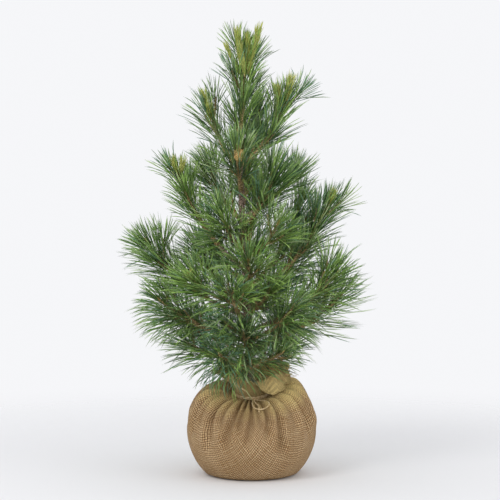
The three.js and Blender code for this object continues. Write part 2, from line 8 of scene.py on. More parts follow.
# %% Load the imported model
import math
import bpy
import numpy as np
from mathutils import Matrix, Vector


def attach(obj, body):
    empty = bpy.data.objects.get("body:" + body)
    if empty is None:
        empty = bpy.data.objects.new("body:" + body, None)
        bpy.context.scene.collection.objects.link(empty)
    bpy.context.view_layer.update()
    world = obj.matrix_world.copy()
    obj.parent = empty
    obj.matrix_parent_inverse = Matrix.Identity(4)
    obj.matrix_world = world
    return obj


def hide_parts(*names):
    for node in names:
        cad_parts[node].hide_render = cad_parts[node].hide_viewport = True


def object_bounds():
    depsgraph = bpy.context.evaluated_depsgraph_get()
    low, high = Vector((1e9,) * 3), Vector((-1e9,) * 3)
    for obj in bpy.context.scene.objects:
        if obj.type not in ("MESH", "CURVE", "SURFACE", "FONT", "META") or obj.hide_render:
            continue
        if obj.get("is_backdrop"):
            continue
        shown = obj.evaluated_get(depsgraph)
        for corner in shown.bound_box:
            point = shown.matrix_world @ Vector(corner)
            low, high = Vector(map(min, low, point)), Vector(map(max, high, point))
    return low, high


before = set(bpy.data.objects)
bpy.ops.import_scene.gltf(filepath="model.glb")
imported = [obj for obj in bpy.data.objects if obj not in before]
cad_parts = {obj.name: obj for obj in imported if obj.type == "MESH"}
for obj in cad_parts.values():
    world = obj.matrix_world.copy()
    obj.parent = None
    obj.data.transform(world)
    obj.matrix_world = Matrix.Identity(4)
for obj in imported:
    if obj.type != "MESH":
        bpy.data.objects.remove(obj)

cad_low, cad_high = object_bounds()
nodes = sorted(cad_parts)
mass_names = [name for name in nodes if name.startswith("needles_")]
print(len(nodes), "solids,", len(mass_names), "masses, height", round(cad_high.z, 3), "m")

# %% [markdown]
# ## Measures and small helpers
# Everything below is worked out in millimetres, as the plant was, and scaled to metres when a mesh
# is made. Arrays of points are handled with numpy, because a loop over single needles is slow.

# %% Helpers for numbers and directions
MM = 0.001
UP = np.array([0.0, 0.0, 1.0])
GOLDEN_TURN = math.pi * (3 - math.sqrt(5))


def lerp(a, b, t):
    return a + (b - a) * t


def smooth(x, low, high):
    t = np.clip((x - low) / (high - low), 0, 1)
    return t * t * (3 - 2 * t)


def unit(vectors):
    return vectors / np.linalg.norm(vectors, axis=-1, keepdims=True)


def seeded(seed):
    """The plant's own sequence of numbers from 0 to 1, so that its twigs grow where they should."""
    whole = 0xFFFFFFFF
    state = seed & whole

    def draw():
        nonlocal state
        state = (state + 0x6D2B79F5) & whole
        t = ((state ^ (state >> 15)) * (state | 1)) & whole
        t ^= (t + (((t ^ (t >> 7)) * (t | 61)) & whole)) & whole
        return (t ^ (t >> 14)) / (whole + 1)

    return draw


draw = seeded(1)
print("first draws of seed 1:", [round(draw(), 4) for _ in range(3)])

# %% [markdown]
# A quadratic curve is enough for any bough or twig: it leaves its parent in one direction and ends
# in another. It is read at shares of its length, so that steps along it are even.


# %% Helper for curves
class Bow:
    """A quadratic curve from a to c that bends towards b."""

    def __init__(self, a, b, c):
        self.a, self.b, self.c = (np.array(p, float) for p in (a, b, c))
        self.table = np.linspace(0, 1, 201)
        walk = np.linalg.norm(np.diff(self.raw(self.table), axis=0), axis=1)
        self.walked = np.concatenate([[0], np.cumsum(walk)])
        self.length = self.walked[-1]

    def raw(self, t):
        t = np.asarray(t, float)[..., None]
        return (1 - t) ** 2 * self.a + 2 * t * (1 - t) * self.b + t**2 * self.c

    def parameter(self, share):
        return np.interp(np.asarray(share, float) * self.length, self.walked, self.table)

    def at(self, share):
        return self.raw(self.parameter(share))

    def tangent(self, share):
        t = self.parameter(share)[..., None]
        return unit((1 - t) * (self.b - self.a) + t * (self.c - self.b))

    def part(self, start, end):
        def blend(s, t):
            return (1 - s) * (1 - t) * self.a + ((1 - s) * t + s * (1 - t)) * self.b + s * t * self.c

        return Bow(blend(start, start), blend(start, end), blend(end, end))


# %% [markdown]
# A mesh of many small things is made from two arrays: all the points, and all the triangles that
# index them. That is far quicker than an operator for each, and leaves one joined piece.


# %% Helpers for meshes
def mesh_piece(name, points, triangles, material):
    """A joined piece that rides on the plant's one body. Points are in millimetres."""
    points, triangles = np.asarray(points, float), np.asarray(triangles, int)
    mesh = bpy.data.meshes.new(name)
    mesh.vertices.add(len(points))
    mesh.vertices.foreach_set("co", (points * MM).ravel())
    mesh.loops.add(triangles.size)
    mesh.loops.foreach_set("vertex_index", triangles.ravel())
    mesh.polygons.add(len(triangles))
    mesh.polygons.foreach_set("loop_start", np.arange(0, triangles.size, 3))
    mesh.polygons.foreach_set("use_smooth", np.full(len(triangles), True))
    mesh.update(calc_edges=True)
    mesh.materials.append(material)
    piece = bpy.data.objects.new(name, mesh)
    bpy.context.scene.collection.objects.link(piece)
    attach(piece, "root")
    print(name, len(triangles), "triangles")
    return piece


def joined(parts):
    """One pair of arrays from several pairs of points and triangles."""
    points, triangles, count = [], [], 0
    for some_points, some_triangles in parts:
        points.append(some_points)
        triangles.append(np.asarray(some_triangles) + count)
        count += len(some_points)
    return np.concatenate(points), np.concatenate(triangles)


def frames_along(points, is_closed):
    """Two directions across a path at each of its points, which don't twist along it."""
    if is_closed:
        tangents = unit(np.roll(points, -1, axis=0) - np.roll(points, 1, axis=0))
    else:
        tangents = unit(np.gradient(points, axis=0))
    side = np.empty_like(tangents)
    start = UP if abs(tangents[0, 2]) < 0.9 else np.array([1.0, 0, 0])
    last = unit(np.cross(tangents[0], start))
    for i, tangent in enumerate(tangents):
        last = unit(last - tangent * last.dot(tangent))
        side[i] = last
    return side, np.cross(tangents, side)


def outwards_from(tangent, turn, hint):
    """Directions straight out of a stem, each turned round it by its own angle."""
    across = unit(np.cross(tangent, np.array(hint)))
    over = np.cross(tangent, across)
    return across * np.cos(turn)[:, None] + over * np.sin(turn)[:, None]


def tube(points, radii, sides, is_closed=False):
    """A round tube along points, with flat ends, or joined up where it is closed."""
    points = np.asarray(points, float)
    count = len(points)
    side, over = frames_along(points, is_closed)
    turn = np.arange(sides) / sides * 2 * math.pi
    radii = np.broadcast_to(np.asarray(radii, float).reshape(-1, 1, 1), (count, 1, 1))
    ring = side[:, None] * np.cos(turn)[None, :, None] + over[:, None] * np.sin(turn)[None, :, None]
    skin = points[:, None] + ring * radii
    near = np.arange(count if is_closed else count - 1)[:, None] * sides
    j, k = np.arange(sides)[None], (np.arange(sides)[None] + 1) % sides
    far = (near + sides) % (count * sides)
    quads = np.stack([near + j, near + k, far + k, far + j], axis=-1).reshape(-1, 4)
    triangles = [quads[:, [0, 1, 2]], quads[:, [0, 2, 3]]]
    if not is_closed:
        fan = np.array([[0, i + 1, i] for i in range(1, sides - 1)])
        triangles += [fan, fan[:, ::-1] + (count - 1) * sides]
    return skin.reshape(-1, 3), np.concatenate(triangles)


# %% [markdown]
# ## Finishes
# Each finish is a tree of shader nodes. An effect that several finishes share is a node group,
# built once: mottling for leaves, soil and cloth, and scales for bark. The groups only put out
# colours and heights; the shader stays in the material.


# %% Helpers for shader nodes
def put(tree, kind, inputs=None, **settings):
    """Adds a shader node, sets its options, and fills its inputs with values or with links."""
    shader_node = tree.nodes.new("ShaderNode" + kind)
    for key, value in settings.items():
        setattr(shader_node, key, value)
    for key, value in (inputs or {}).items():
        socket = shader_node.inputs[key]
        if isinstance(value, bpy.types.NodeSocket):
            tree.links.new(value, socket)
        else:
            socket.default_value = value
    return shader_node


def maths(tree, operation, *values):
    return put(tree, "Math", dict(enumerate(values)), operation=operation).outputs[0]


def mixed(tree, factor, a, b):
    """A blend of two colours."""
    return put(tree, "Mix", {0: factor, 6: a, 7: b}, data_type="RGBA").outputs[2]


def ranged(tree, value, low, high):
    """A value stretched so that low becomes 0 and high becomes 1."""
    return put(tree, "MapRange", {0: value, 1: low, 2: high}).outputs[0]


def new_group(name, inputs, outputs):
    """An empty node group with named sockets, and the nodes that stand for them."""
    group = bpy.data.node_groups.new(name, "ShaderNodeTree")
    for in_out, sockets in (("INPUT", inputs), ("OUTPUT", outputs)):
        for label, kind in sockets.items():
            group.interface.new_socket(label, in_out=in_out, socket_type="NodeSocket" + kind)
    entry, leave = group.nodes.new("NodeGroupInput"), group.nodes.new("NodeGroupOutput")
    return group, entry.outputs, leave.inputs


def use_group(tree, group, inputs):
    return put(tree, "Group", inputs, node_tree=group).outputs


def raise_relief(tree, shader, height, distance, strength):
    relief = put(tree, "Bump", {"Height": height, "Distance": distance, "Strength": strength})
    tree.links.new(relief.outputs[0], shader["Normal"])


def rgba(hex_colour):
    """A colour written as six hexadecimal digits, as linear light."""
    channels = [int(hex_colour[i : i + 2], 16) / 255 for i in (0, 2, 4)]
    linear = [c / 12.92 if c <= 0.04045 else ((c + 0.055) / 1.055) ** 2.4 for c in channels]
    return (*linear, 1.0)


def new_material(name, roughness, **constants):
    """A material with an empty shader to wire, and the place of each point on the object."""
    material = bpy.data.materials.new(name)
    material.use_nodes = True
    tree = material.node_tree
    shader = tree.nodes["Principled BSDF"]
    shader.inputs["Roughness"].default_value = roughness
    for key, value in constants.items():
        shader.inputs[key.replace("_", " ")].default_value = value
    place = put(tree, "TexCoord").outputs["Object"]
    return material, tree, shader.inputs, place


# %% Shared effects: mottling and bark scales
mottle, m_in, m_out = new_group(
    "mottle",
    {"Vector": "Vector", "Scale": "Float", "Dark": "Color", "Light": "Color"},
    {"Color": "Color", "Mask": "Float"},
)
m_noise = put(mottle, "TexNoise", {"Vector": m_in["Vector"], "Scale": m_in["Scale"], "Detail": 4.0})
m_mask = ranged(mottle, m_noise.outputs[0], 0.3, 0.7)
mottle.links.new(mixed(mottle, m_mask, m_in["Dark"], m_in["Light"]), m_out["Color"])
mottle.links.new(m_mask, m_out["Mask"])

scales, s_in, s_out = new_group(
    "bark_scales", {"Vector": "Vector", "Scale": "Float"}, {"Crack": "Float", "Height": "Float"}
)
s_place = put(scales, "Mapping", {"Vector": s_in["Vector"], "Scale": (1, 1, 0.45)}).outputs[0]
s_where = {"Vector": s_place, "Scale": s_in["Scale"]}
s_cells = put(scales, "TexVoronoi", s_where, feature="DISTANCE_TO_EDGE")
s_crack = ranged(scales, s_cells.outputs[0], 0.0, 0.18)
s_grain = put(scales, "TexNoise", {"Vector": s_place, "Scale": 900.0, "Detail": 3.0}).outputs[0]
s_height = maths(scales, "ADD", s_crack, maths(scales, "MULTIPLY", s_grain, 0.4))
scales.links.new(s_crack, s_out["Crack"])
scales.links.new(s_height, s_out["Height"])
print("node groups:", [group.name for group in bpy.data.node_groups])


# %% Mottled materials
def mottling(tree, place, scale, dark, light):
    return use_group(
        tree, mottle, {"Vector": place, "Scale": scale, "Dark": rgba(dark), "Light": rgba(light)}
    )


def mottled_material(name, roughness, specular, scale, dark, light, relief=None):
    """A softly mottled material, raised by its own mottling where relief gives how much."""
    material, tree, shader, place = new_material(name, roughness, Specular_IOR_Level=specular)
    tone = mottling(tree, place, scale, dark, light)
    tree.links.new(tone["Color"], shader["Base Color"])
    if relief:
        raise_relief(tree, shader, tone["Mask"], *relief)
    return material


# %% [markdown]
# ## Needle colours
# Needles of one shoot opened in the same weeks, so they lean to one tint, and neighbouring shoots
# differ. A noise that paints single needles would be lost between them. So each tint is its own
# softly mottled material, dealt out bundle by bundle, with a leaning for each shoot. The palest
# tint is painted highlight: its bundles stand for needles that catch the light.

# %% Needle tints
TINTS = {
    "deep": ("46633a", "6c8a52"),
    "mid": ("6a9048", "92b266"),
    "blue": ("4f7a5c", "7aa07c"),
    "fresh": ("7fa84c", "aacb6c"),
    # painted highlight: the palest tint, for needles that catch the light
    "painted_highlight": ("9cb67a", "c4d6a2"),
    "candle": ("98a63c", "cfd07c"),
}
tint_materials = {
    tint: mottled_material("needle_" + tint, 0.36, 0.5, 24.0, *colours)
    for tint, colours in TINTS.items()
}
print("tints:", ", ".join(tint_materials))

# %% [markdown]
# ## Bark
# Young pine bark is thin, grey-brown and pinkish, and still covered with the scaly feet of old
# needles. The colour follows the same cells as the fine relief, darker in the cracks.


# %% Bark finishes
def bark_material(name, crack, low, high, scale, bump):
    material, tree, shader, place = new_material(name, 0.85)
    cells = use_group(tree, scales, {"Vector": place, "Scale": scale})
    tone = mottling(tree, place, 90.0, low, high)
    tree.links.new(mixed(tree, cells["Crack"], rgba(crack), tone["Color"]), shader["Base Color"])
    raise_relief(tree, shader, cells["Height"], bump, 0.7)
    return material


BARK = bark_material("bark", "5e4c40", "a58d7a", "d0b8a4", 330.0, 0.0009)
SHOOT_BARK = bark_material("shoot_bark", "7a6240", "b89a68", "dcc490", 520.0, 0.0005)
BUD = bark_material("bud_scale", "bc8244", "cdb062", "ecdca0", 700.0, 0.0004)

# %% [markdown]
# ## The plan of the plant
# The limbs follow the plant's own rule, written again here: a leaning trunk, boughs that start low
# and turn up, and a leafy shoot on the outer stretch of each. One row gives a bough's foot height,
# azimuth, reach and rise, and whether it is leafy right from the trunk.

# %% Trunk and bough measures
NECK = {"height": 159.0, "radius": 35.0, "tilt": 0.3, "band": 12.0}
TRUNK = {
    "foot": 150.3, "tip": 642.0, "x": -4.0, "lean": -0.032, "sway": 3.0,
    "foot_radius": 9.0, "tip_radius": 4.0, "flare": 5.0, "flare_height": 14.0,
}
GAP = 0.3
BOUGHS = [  # name, foot height, azimuth, reach, rise, and whether it is leafy from the trunk
    ("upper_right", 606, 353, 89, 132, True),
    ("upper_left", 594, 175, 62, 122, True),
    ("upper_back", 588, 70, 82, 120, True),
    ("upper_front", 556, 264, 82, 76, True),
    ("high_back", 526, 80, 90, 86, True),
    ("high_right_back", 504, 22, 106, 84, False),
    ("high_left_back", 496, 147, 79, 108, True),
    ("high_right_front", 486, 315, 87, 102, True),
    ("high_left_front", 440, 245, 101, 68, True),
    ("front_right", 420, 303, 115, 70, True),
    ("tall_back", 414, 81, 121, 142, False),
    ("tall_left", 402, 182, 130, 188, False),
    ("back_high", 392, 89, 88, 78, True),
    ("inner_left", 374, 146, 72, 72, True),
    ("tall_right_inner", 364, 20, 117, 172, True),
    ("mid_front", 352, 272, 111, 72, False),
    ("tall_right", 344, 356, 159, 188, False),
    ("mid_back_right", 332, 47, 166, 120, False),
    ("mid_left_front", 330, 218, 135, 54, False),
    ("mid_back_left", 322, 130, 158, 124, False),
    ("inner_right", 322, 9, 72, 66, True),
    ("inner_front", 316, 297, 89, 50, True),
    ("wide_left", 308, 178, 198, 146, False),
    ("back_low", 298, 82, 94, 58, True),
    ("long_front", 292, 252, 123, 82, False),
    ("wide_right", 282, 348, 173, 114, False),
    ("inner_low_left", 268, 232, 77, 38, True),
    ("low_right_front", 262, 310, 129, 74, False),
    ("low_left", 260, 188, 175, 82, False),
    ("far_right", 248, 4, 181, 102, False),
    ("inner_low_front", 240, 262, 87, 44, True),
    ("low_back_right", 236, 59, 161, 64, False),
    ("inner_low_right", 232, 331, 68, 54, True),
    ("low_back_left", 226, 121, 163, 62, False),
    ("foot_front_right", 218, 309, 101, 28, True),
    ("foot_left", 214, 172, 127, 44, True),
    ("foot_right", 210, 29, 98, 44, True),
    ("foot_front_left", 208, 234, 98, 34, True),
    ("foot_front", 202, 271, 83, 30, True),
]


def trunk_share(height):
    return (height - TRUNK["foot"]) / (TRUNK["tip"] - TRUNK["foot"])


def trunk_axis(height):
    height = np.asarray(height, float)
    share = trunk_share(height)
    sway = TRUNK["sway"] * np.sin(2 * math.pi * share)
    x = TRUNK["x"] + TRUNK["lean"] * (height - TRUNK["foot"]) + sway
    return np.stack([x, -sway / 2, height], axis=-1)


def trunk_radius(height):
    flare = TRUNK["flare"] * np.exp(-(height - TRUNK["foot"]) / TRUNK["flare_height"])
    return lerp(TRUNK["foot_radius"], TRUNK["tip_radius"], trunk_share(height)) + flare


print("trunk's tip at", trunk_axis(TRUNK["tip"]).round(1), "with", len(BOUGHS), "boughs and shoots")


# %% [markdown]
# Each shoot keeps its curve, how high it stands in the crown, and the limb that carries it. Higher
# shoots are tighter brushes. The leader goes on straight up from the trunk's tip.

# %% Lay out the shoots
LIMB_SHARE = 0.34
LEVEL_OUT, LEVEL_RISE = 0.62, 0.28
LEADER_RISE, LEADER_DRIFT = 188.0, 6.0
LOWEST_TIP, TIP_SPAN = 240.0, 330.0  # heights of the tips that count as 0 and, so much higher, as 1
BARE_FOOT = 12.0


def plan_shoot(name, foot, azimuth, reach, rise, is_direct):
    start = trunk_axis(foot)
    turn = math.radians(azimuth)
    out = np.array([math.cos(turn), math.sin(turn), 0])
    bend = start + out * reach * LEVEL_OUT + UP * rise * LEVEL_RISE
    whole = Bow(start, bend, start + out * reach + UP * rise)
    height = float(np.clip((foot + rise - LOWEST_TIP) / TIP_SPAN, 0, 1))
    shoot = {"name": name, "height": height, "limb": None, "bare": BARE_FOOT}
    if is_direct:
        shoot["curve"] = whole.part(0.5 * float(trunk_radius(foot)) / whole.length, 1)
        shoot["bare"] = 1.6 * BARE_FOOT
    else:
        shoot["curve"] = whole.part(LIMB_SHARE + GAP / whole.length, 1)
        shoot["limb"] = whole.part(0, LIMB_SHARE)
        shoot["girth"] = lerp(1.12, 0.8, height)
    return shoot


leader_foot = trunk_axis(TRUNK["tip"]) + UP * GAP
leader_end = leader_foot + np.array([LEADER_DRIFT, 0, LEADER_RISE])
leader_curve = Bow(leader_foot, leader_foot + UP * LEADER_RISE / 2, leader_end)
shoots = [{"name": "leader", "height": 1.0, "limb": None, "bare": 0.0, "curve": leader_curve}]
shoots += [plan_shoot(*row) for row in BOUGHS]
print(len(shoots), "shoots,", sum(s["limb"] is not None for s in shoots), "of them on boughs")

# %% [markdown]
# ## The ball's shape
# The wrapped ball is a shape of its own: a curve below the waist, a shoulder that climbs to the
# tilted neck, and the gathered collar. It is worked out here because needles hang over it and must
# not pass through the cloth, which is modelled later from the same functions.

# %% The wrapped ball's smooth shape
BALL = {"radius": 127.0, "waist": 86.0, "foot": 80.0, "hem": 4.0, "lower": 118.0}
SHOULDER, FRONT_SLACK, RIGHT_BULGE, FULLNESS = 36.0, 46.0, 7.0, 0.8
COLLAR = {
    "reach": 38.0, "rise": 24.0, "right": 14.0, "front": -18.0, "front_rise": 16.0, "ruffle": 6.0,
}


def frontness(angle):
    return (1 - np.sin(angle)) / 2


def neck_plane(radius, angle):
    return NECK["height"] + NECK["tilt"] * radius * np.sin(angle)


def pleat_wave(angle):
    return np.cos(12 * angle + 2 * np.cos(angle) + 0.7 * np.sin(3 * angle + 2))


def polar(radius, angle, height):
    return np.stack([radius * np.cos(angle), radius * np.sin(angle), height + 0 * angle], axis=-1)


def lower_point(angle, rise):
    drop = (1 - rise) * BALL["waist"]
    radius = BALL["radius"] * math.sqrt(1 - (drop / BALL["lower"]) ** 2)
    return polar(radius + 0 * angle, angle, BALL["waist"] - drop)


def shoulder(angle, sine, sine_twice):
    """Height of the shoulder, which sags at the front and is fuller on the right."""
    fullest = SHOULDER - FRONT_SLACK * frontness(angle) ** 4 + RIGHT_BULGE * np.cos(angle)
    slope = (neck_plane(NECK["radius"], angle) - BALL["waist"]) * sine
    return BALL["waist"] + slope + fullest * sine**2 * sine_twice


def upper_point(angle, climb):
    turn = climb * math.pi / 2
    radius = lerp(NECK["radius"], BALL["radius"], max(0, math.cos(turn)) ** FULLNESS)
    return polar(radius + 0 * angle, angle, shoulder(angle, math.sin(turn), math.sin(2 * turn)))


def shoulder_top(radius, angle):
    """Height of the ball's smooth upper side at a place seen from above."""
    inner = np.clip((radius - NECK["radius"]) / (BALL["radius"] - NECK["radius"]), 0, 1)
    turn = np.arccos(inner ** (1 / FULLNESS))
    return shoulder(angle, np.sin(turn), np.sin(2 * turn))


def collar_reach(angle):
    right = np.maximum(0, np.cos(angle - 0.25)) * COLLAR["right"]
    return COLLAR["reach"] + right + COLLAR["front"] * frontness(angle) ** 2


def collar_rise(angle, spread):
    return (COLLAR["rise"] + COLLAR["front_rise"] * frontness(angle) ** 2) * spread**0.75


def sunk(points, depth):
    middle = np.array([0, 0, BALL["waist"]])
    away = points - middle
    far = np.linalg.norm(away, axis=-1, keepdims=True)
    return middle + away * (1 - np.asarray(depth)[..., None] / far)


front, back = upper_point(np.array([-math.pi / 2, math.pi / 2]), 1.0)
print("neck", front[2].round(1), "mm high at the front and", back[2].round(1), "mm behind")


# %% [markdown]
# ## Twigs, and the space that each keeps to
# Side twigs leave a shoot at even steps, each about a golden angle further round. A twig is left
# out where it would come too near a limb or another twig. For that, every limb and every leafy
# core is kept as short straight lines, and the distance to them is worked out for many points at
# once.

# %% Space round the ball and over the cloth
BALL_SPACE = {"wide": 143.0, "high": 116.0, "above": 10.0}  # half axes, and room over the collar
OVER_CLOTH = 6.0


def clear_of_ball(points):
    """True for points outside the root ball and the gathered cloth on top of it."""
    radius = np.hypot(points[:, 0], points[:, 1])
    sine = np.divide(points[:, 1], radius, out=np.zeros(len(points)), where=radius > 0)
    front = COLLAR["front_rise"] * ((1 - sine) / 2) ** 2
    plane = NECK["height"] + NECK["tilt"] * radius * sine
    collar_top = plane + NECK["band"] + COLLAR["rise"] + front + BALL_SPACE["above"]
    collar_edge = NECK["radius"] + COLLAR["reach"] + COLLAR["right"] + COLLAR["ruffle"]
    in_collar = (radius < collar_edge) & (points[:, 2] < collar_top)
    rise = points[:, 2] - BALL["waist"]
    return ~in_collar & ((radius / BALL_SPACE["wide"]) ** 2 + (rise / BALL_SPACE["high"]) ** 2 > 1)


def clear_of_cloth(points):
    """True for points above the cloth. Outside the collar's rim they may hang to the shoulder."""
    radius, angle = np.hypot(points[:, 0], points[:, 1]), np.arctan2(points[:, 1], points[:, 0])
    spread = np.clip((radius - NECK["radius"]) / collar_reach(angle), 0, 1.2)
    collar = neck_plane(radius, angle) + NECK["band"] + collar_rise(angle, spread)
    top = shoulder_top(radius, angle)
    top = np.where(spread < 1.15, np.maximum(top, collar), top)
    return (radius > BALL["radius"] + 8) | (points[:, 2] > top + OVER_CLOTH)


print("the trunk's tip is clear of the ball:", clear_of_ball(trunk_axis([TRUNK["tip"]])).all())

# %% Lines that stand for limbs and cores
TRUNK_LINES = 22
LIMB = {"foot": 4.8, "tip": 3.6, "lines": 4}
CORE = {"radius": 4.2, "lines": 5}
line_start, line_along, line_radius, line_owner = [], [], [], []


def add_lines(curve, radius, steps, owner):
    ends = curve.at(np.arange(steps + 1) / steps)
    for a, b in zip(ends[:-1], ends[1:]):
        line_start.append(a)
        line_along.append(b - a)
        line_radius.append(radius)
        line_owner.append(owner)


def distances(points, which):
    """The distance from each point to each of the chosen lines."""
    start, along = np.array(line_start)[which], np.array(line_along)[which]
    apart = points[:, None] - start[None]
    share = np.clip((apart * along).sum(-1) / (along**2).sum(-1), 0, 1)
    return np.linalg.norm(apart - share[..., None] * along, axis=-1)


for i in range(TRUNK_LINES):
    low, high = (lerp(TRUNK["foot"], TRUNK["tip"], k / TRUNK_LINES) for k in (i, i + 1))
    a, b = trunk_axis(low), trunk_axis(high)
    add_lines(Bow(a, (a + b) / 2, b), float(trunk_radius(low)), 1, "trunk_limb")
for shoot in shoots:
    if shoot["limb"]:
        add_lines(shoot["limb"], LIMB["foot"] * shoot["girth"], LIMB["lines"], shoot["name"] + "_limb")
for shoot in shoots:
    add_lines(shoot["curve"], CORE["radius"], CORE["lines"], shoot["name"])
print(len(line_start), "lines before twigs")

# %% Grow the side twigs
TWIG = {
    "spacing": 74.0, "low": 0.42, "high": 0.3, "shortest": 24.0, "longest": 60.0,
    "radius": 3.4, "room": 8.16, "lines": 3, "bare": 0.25,
}
brushes = []


def twig_curve(shoot_curve, along, turn, splay, size):
    root, tangent = shoot_curve.at(along), shoot_curve.tangent(along)
    across = unit(np.cross(np.array([-tangent[1], tangent[0], 0.001]), tangent))
    side = across * math.cos(turn) + np.cross(tangent, across) * math.sin(turn)
    direction = tangent * math.cos(splay) + side * math.sin(splay)
    return Bow(root, root + direction * size * 0.6, root + direction * size + UP * size * 0.2)


def twig_fits(curve, allowed, room):
    points = curve.at([0.45, 0.7, 1])
    which = np.array([owner != allowed for owner in line_owner])
    gaps = distances(points, which) - np.array(line_radius)[which] - room
    return clear_of_ball(points).all() and (gaps > 0).all()


def keep_twig(shoot, kind, number, curve, rule):
    """Keeps a twig that fits: its lines, which the next ones avoid, and its leafy core."""
    if not twig_fits(curve, shoot["name"], rule["room"]):
        return
    owner = f"{shoot['name']}_{kind}_{number}"
    add_lines(curve.part(0.4, 1), rule["radius"], rule["lines"], owner)
    brushes.append({
        "owner": owner, "mass": shoot["name"], "kind": kind, "curve": curve,
        "height": shoot["height"], "bare": rule["bare"] * curve.length,
    })


for i, shoot in enumerate(shoots):
    curve, height, draw = shoot["curve"], shoot["height"], seeded(i + 1)
    brushes.append({**shoot, "owner": shoot["name"], "mass": shoot["name"], "kind": "shoot"})
    if height >= 0.6:  # the tight brushes at the top have none
        continue
    splay = math.radians(lerp(44, 26, height))
    count = max(1, round(curve.length / TWIG["spacing"]))
    for k in range(count):
        along = (k + 0.45 + 0.3 * draw()) / (count + 0.6)
        turn = GOLDEN_TURN * k + 0.8 + draw() * 1.2
        size = curve.length * lerp(TWIG["low"], TWIG["high"], height) * (0.85 + 0.3 * draw())
        size = float(np.clip(size, TWIG["shortest"], TWIG["longest"]))
        keep_twig(shoot, "twig", k, twig_curve(curve, along, turn, splay, size), TWIG)
print(len(brushes), "leafy cores")

# %% [markdown]
# The solids stop at those twigs. Real shoots carry finer spurs too, which fill the crown between
# them, so each shoot gets more by the same rule, shorter and closer together.

# %% Grow the finer spurs
SPUR = {
    "spacing": 30.0, "shortest": 22.0, "longest": 42.0,
    "radius": 2.0, "room": 4.08, "lines": 2, "bare": 0.15,
}
rng = np.random.default_rng(3)
for shoot in shoots:
    curve, height = shoot["curve"], shoot["height"]
    count = int(curve.length / SPUR["spacing"])
    for k in range(count):
        along = (k + 0.4 + 0.4 * rng.random()) / (count + 0.5)
        turn = GOLDEN_TURN * k + 2.1 + 1.2 * rng.random()
        size = curve.length * rng.uniform(0.2, 0.36)
        size = float(np.clip(size, SPUR["shortest"], SPUR["longest"]))
        splay = math.radians(lerp(46, 30, height) + rng.uniform(-8, 8))
        keep_twig(shoot, "spur", k, twig_curve(curve, along, turn, splay, size), SPUR)
print(len(brushes), "leafy cores with spurs")

# %% [markdown]
# ## Needles
# A needle is about as long as a hand is wide and a millimetre thick. Each is a three-sided sliver
# with one joint, ten triangles in all, which reads as round and bends a little. Needles stand in
# bundles of three, and bundles follow a golden-angle spiral, which is why a shoot looks full from
# every side. At a shoot's foot they splay, and at its tip they close up and are shorter.

# %% Room for needles
OFF_LIMB = 1.2
MINGLE = 26.0  # how far the fine needles of one shoot may reach in among its neighbour's
PAST_SOLIDS = np.array([[-15, -14, 0], [15, 14, 12]])  # how far they may stand out of that box
REACH = np.array([cad_low, cad_high]) / MM + PAST_SOLIDS


def needles_stay(feet, tips, owner, near):
    """True for each needle that keeps clear of the ball and the limbs and near its own core."""
    keeps = np.ones(len(feet), bool)
    owners = np.array(line_owner)[near]
    radii = np.array(line_radius)[near]
    is_limb = np.char.endswith(owners, "_limb")
    is_own = owners == owner
    is_other = ~is_limb & ~is_own
    for share in (0.2, 0.45, 0.7, 1):
        points = lerp(feet, tips, share)
        gaps = distances(points, near)
        keeps &= clear_of_cloth(points)
        keeps &= (points > REACH[0]).all(axis=1) & (points < REACH[1]).all(axis=1)
        if is_limb.any():
            keeps &= (gaps[:, is_limb] > radii[is_limb] + OFF_LIMB).all(axis=1)
        if is_other.any():
            own = gaps[:, is_own].min(axis=1)
            keeps &= gaps[:, is_other].min(axis=1) > own - MINGLE
    return keeps


print("needles keep within", REACH.round().tolist(), "mm")

# %% Growth of one core's needles
NEEDLE = {"length": 94.0, "variation": 0.18, "tip_share": 0.5, "radius": 0.45}
ROOT_SPREAD, TIP_SPREAD = (60, 31), (20, 13)  # degrees, on the lowest and the highest shoots
DROOP = (0.26, 0.04)
PER_BUNDLE = 3
STRAY, WILD_STRAY, WILD_SHARE = 9.0, 18.0, 0.15  # degrees, and how many bundles stray far
CUT_BACK = (1, 0.86, 0.7, 0.54, 0.38)  # shares of its length at which a needle is tried


def cut_back(feet, directions, bows, brush, reach):
    """Each needle at the first length at which it stays, and the numbers of those that do."""
    middles = np.array(line_start) + np.array(line_along) / 2
    near = np.linalg.norm(middles - brush["curve"].at(0.5), axis=1) < reach
    kept, order, left = [], [], np.arange(len(feet))
    for shorter in CUT_BACK:
        tips = feet[left] + directions[left] * shorter
        stays = needles_stay(feet[left], tips, brush["owner"], near)
        done = left[stays]
        bends = feet[done] + (bows[done] * 0.5 + directions[done] * 0.08) * shorter
        kept.append(np.stack([feet[done], bends, tips[stays]], axis=1))
        order.append(done)
        left = left[~stays]
        if not len(left):
            break
    return np.concatenate(kept), np.concatenate(order)


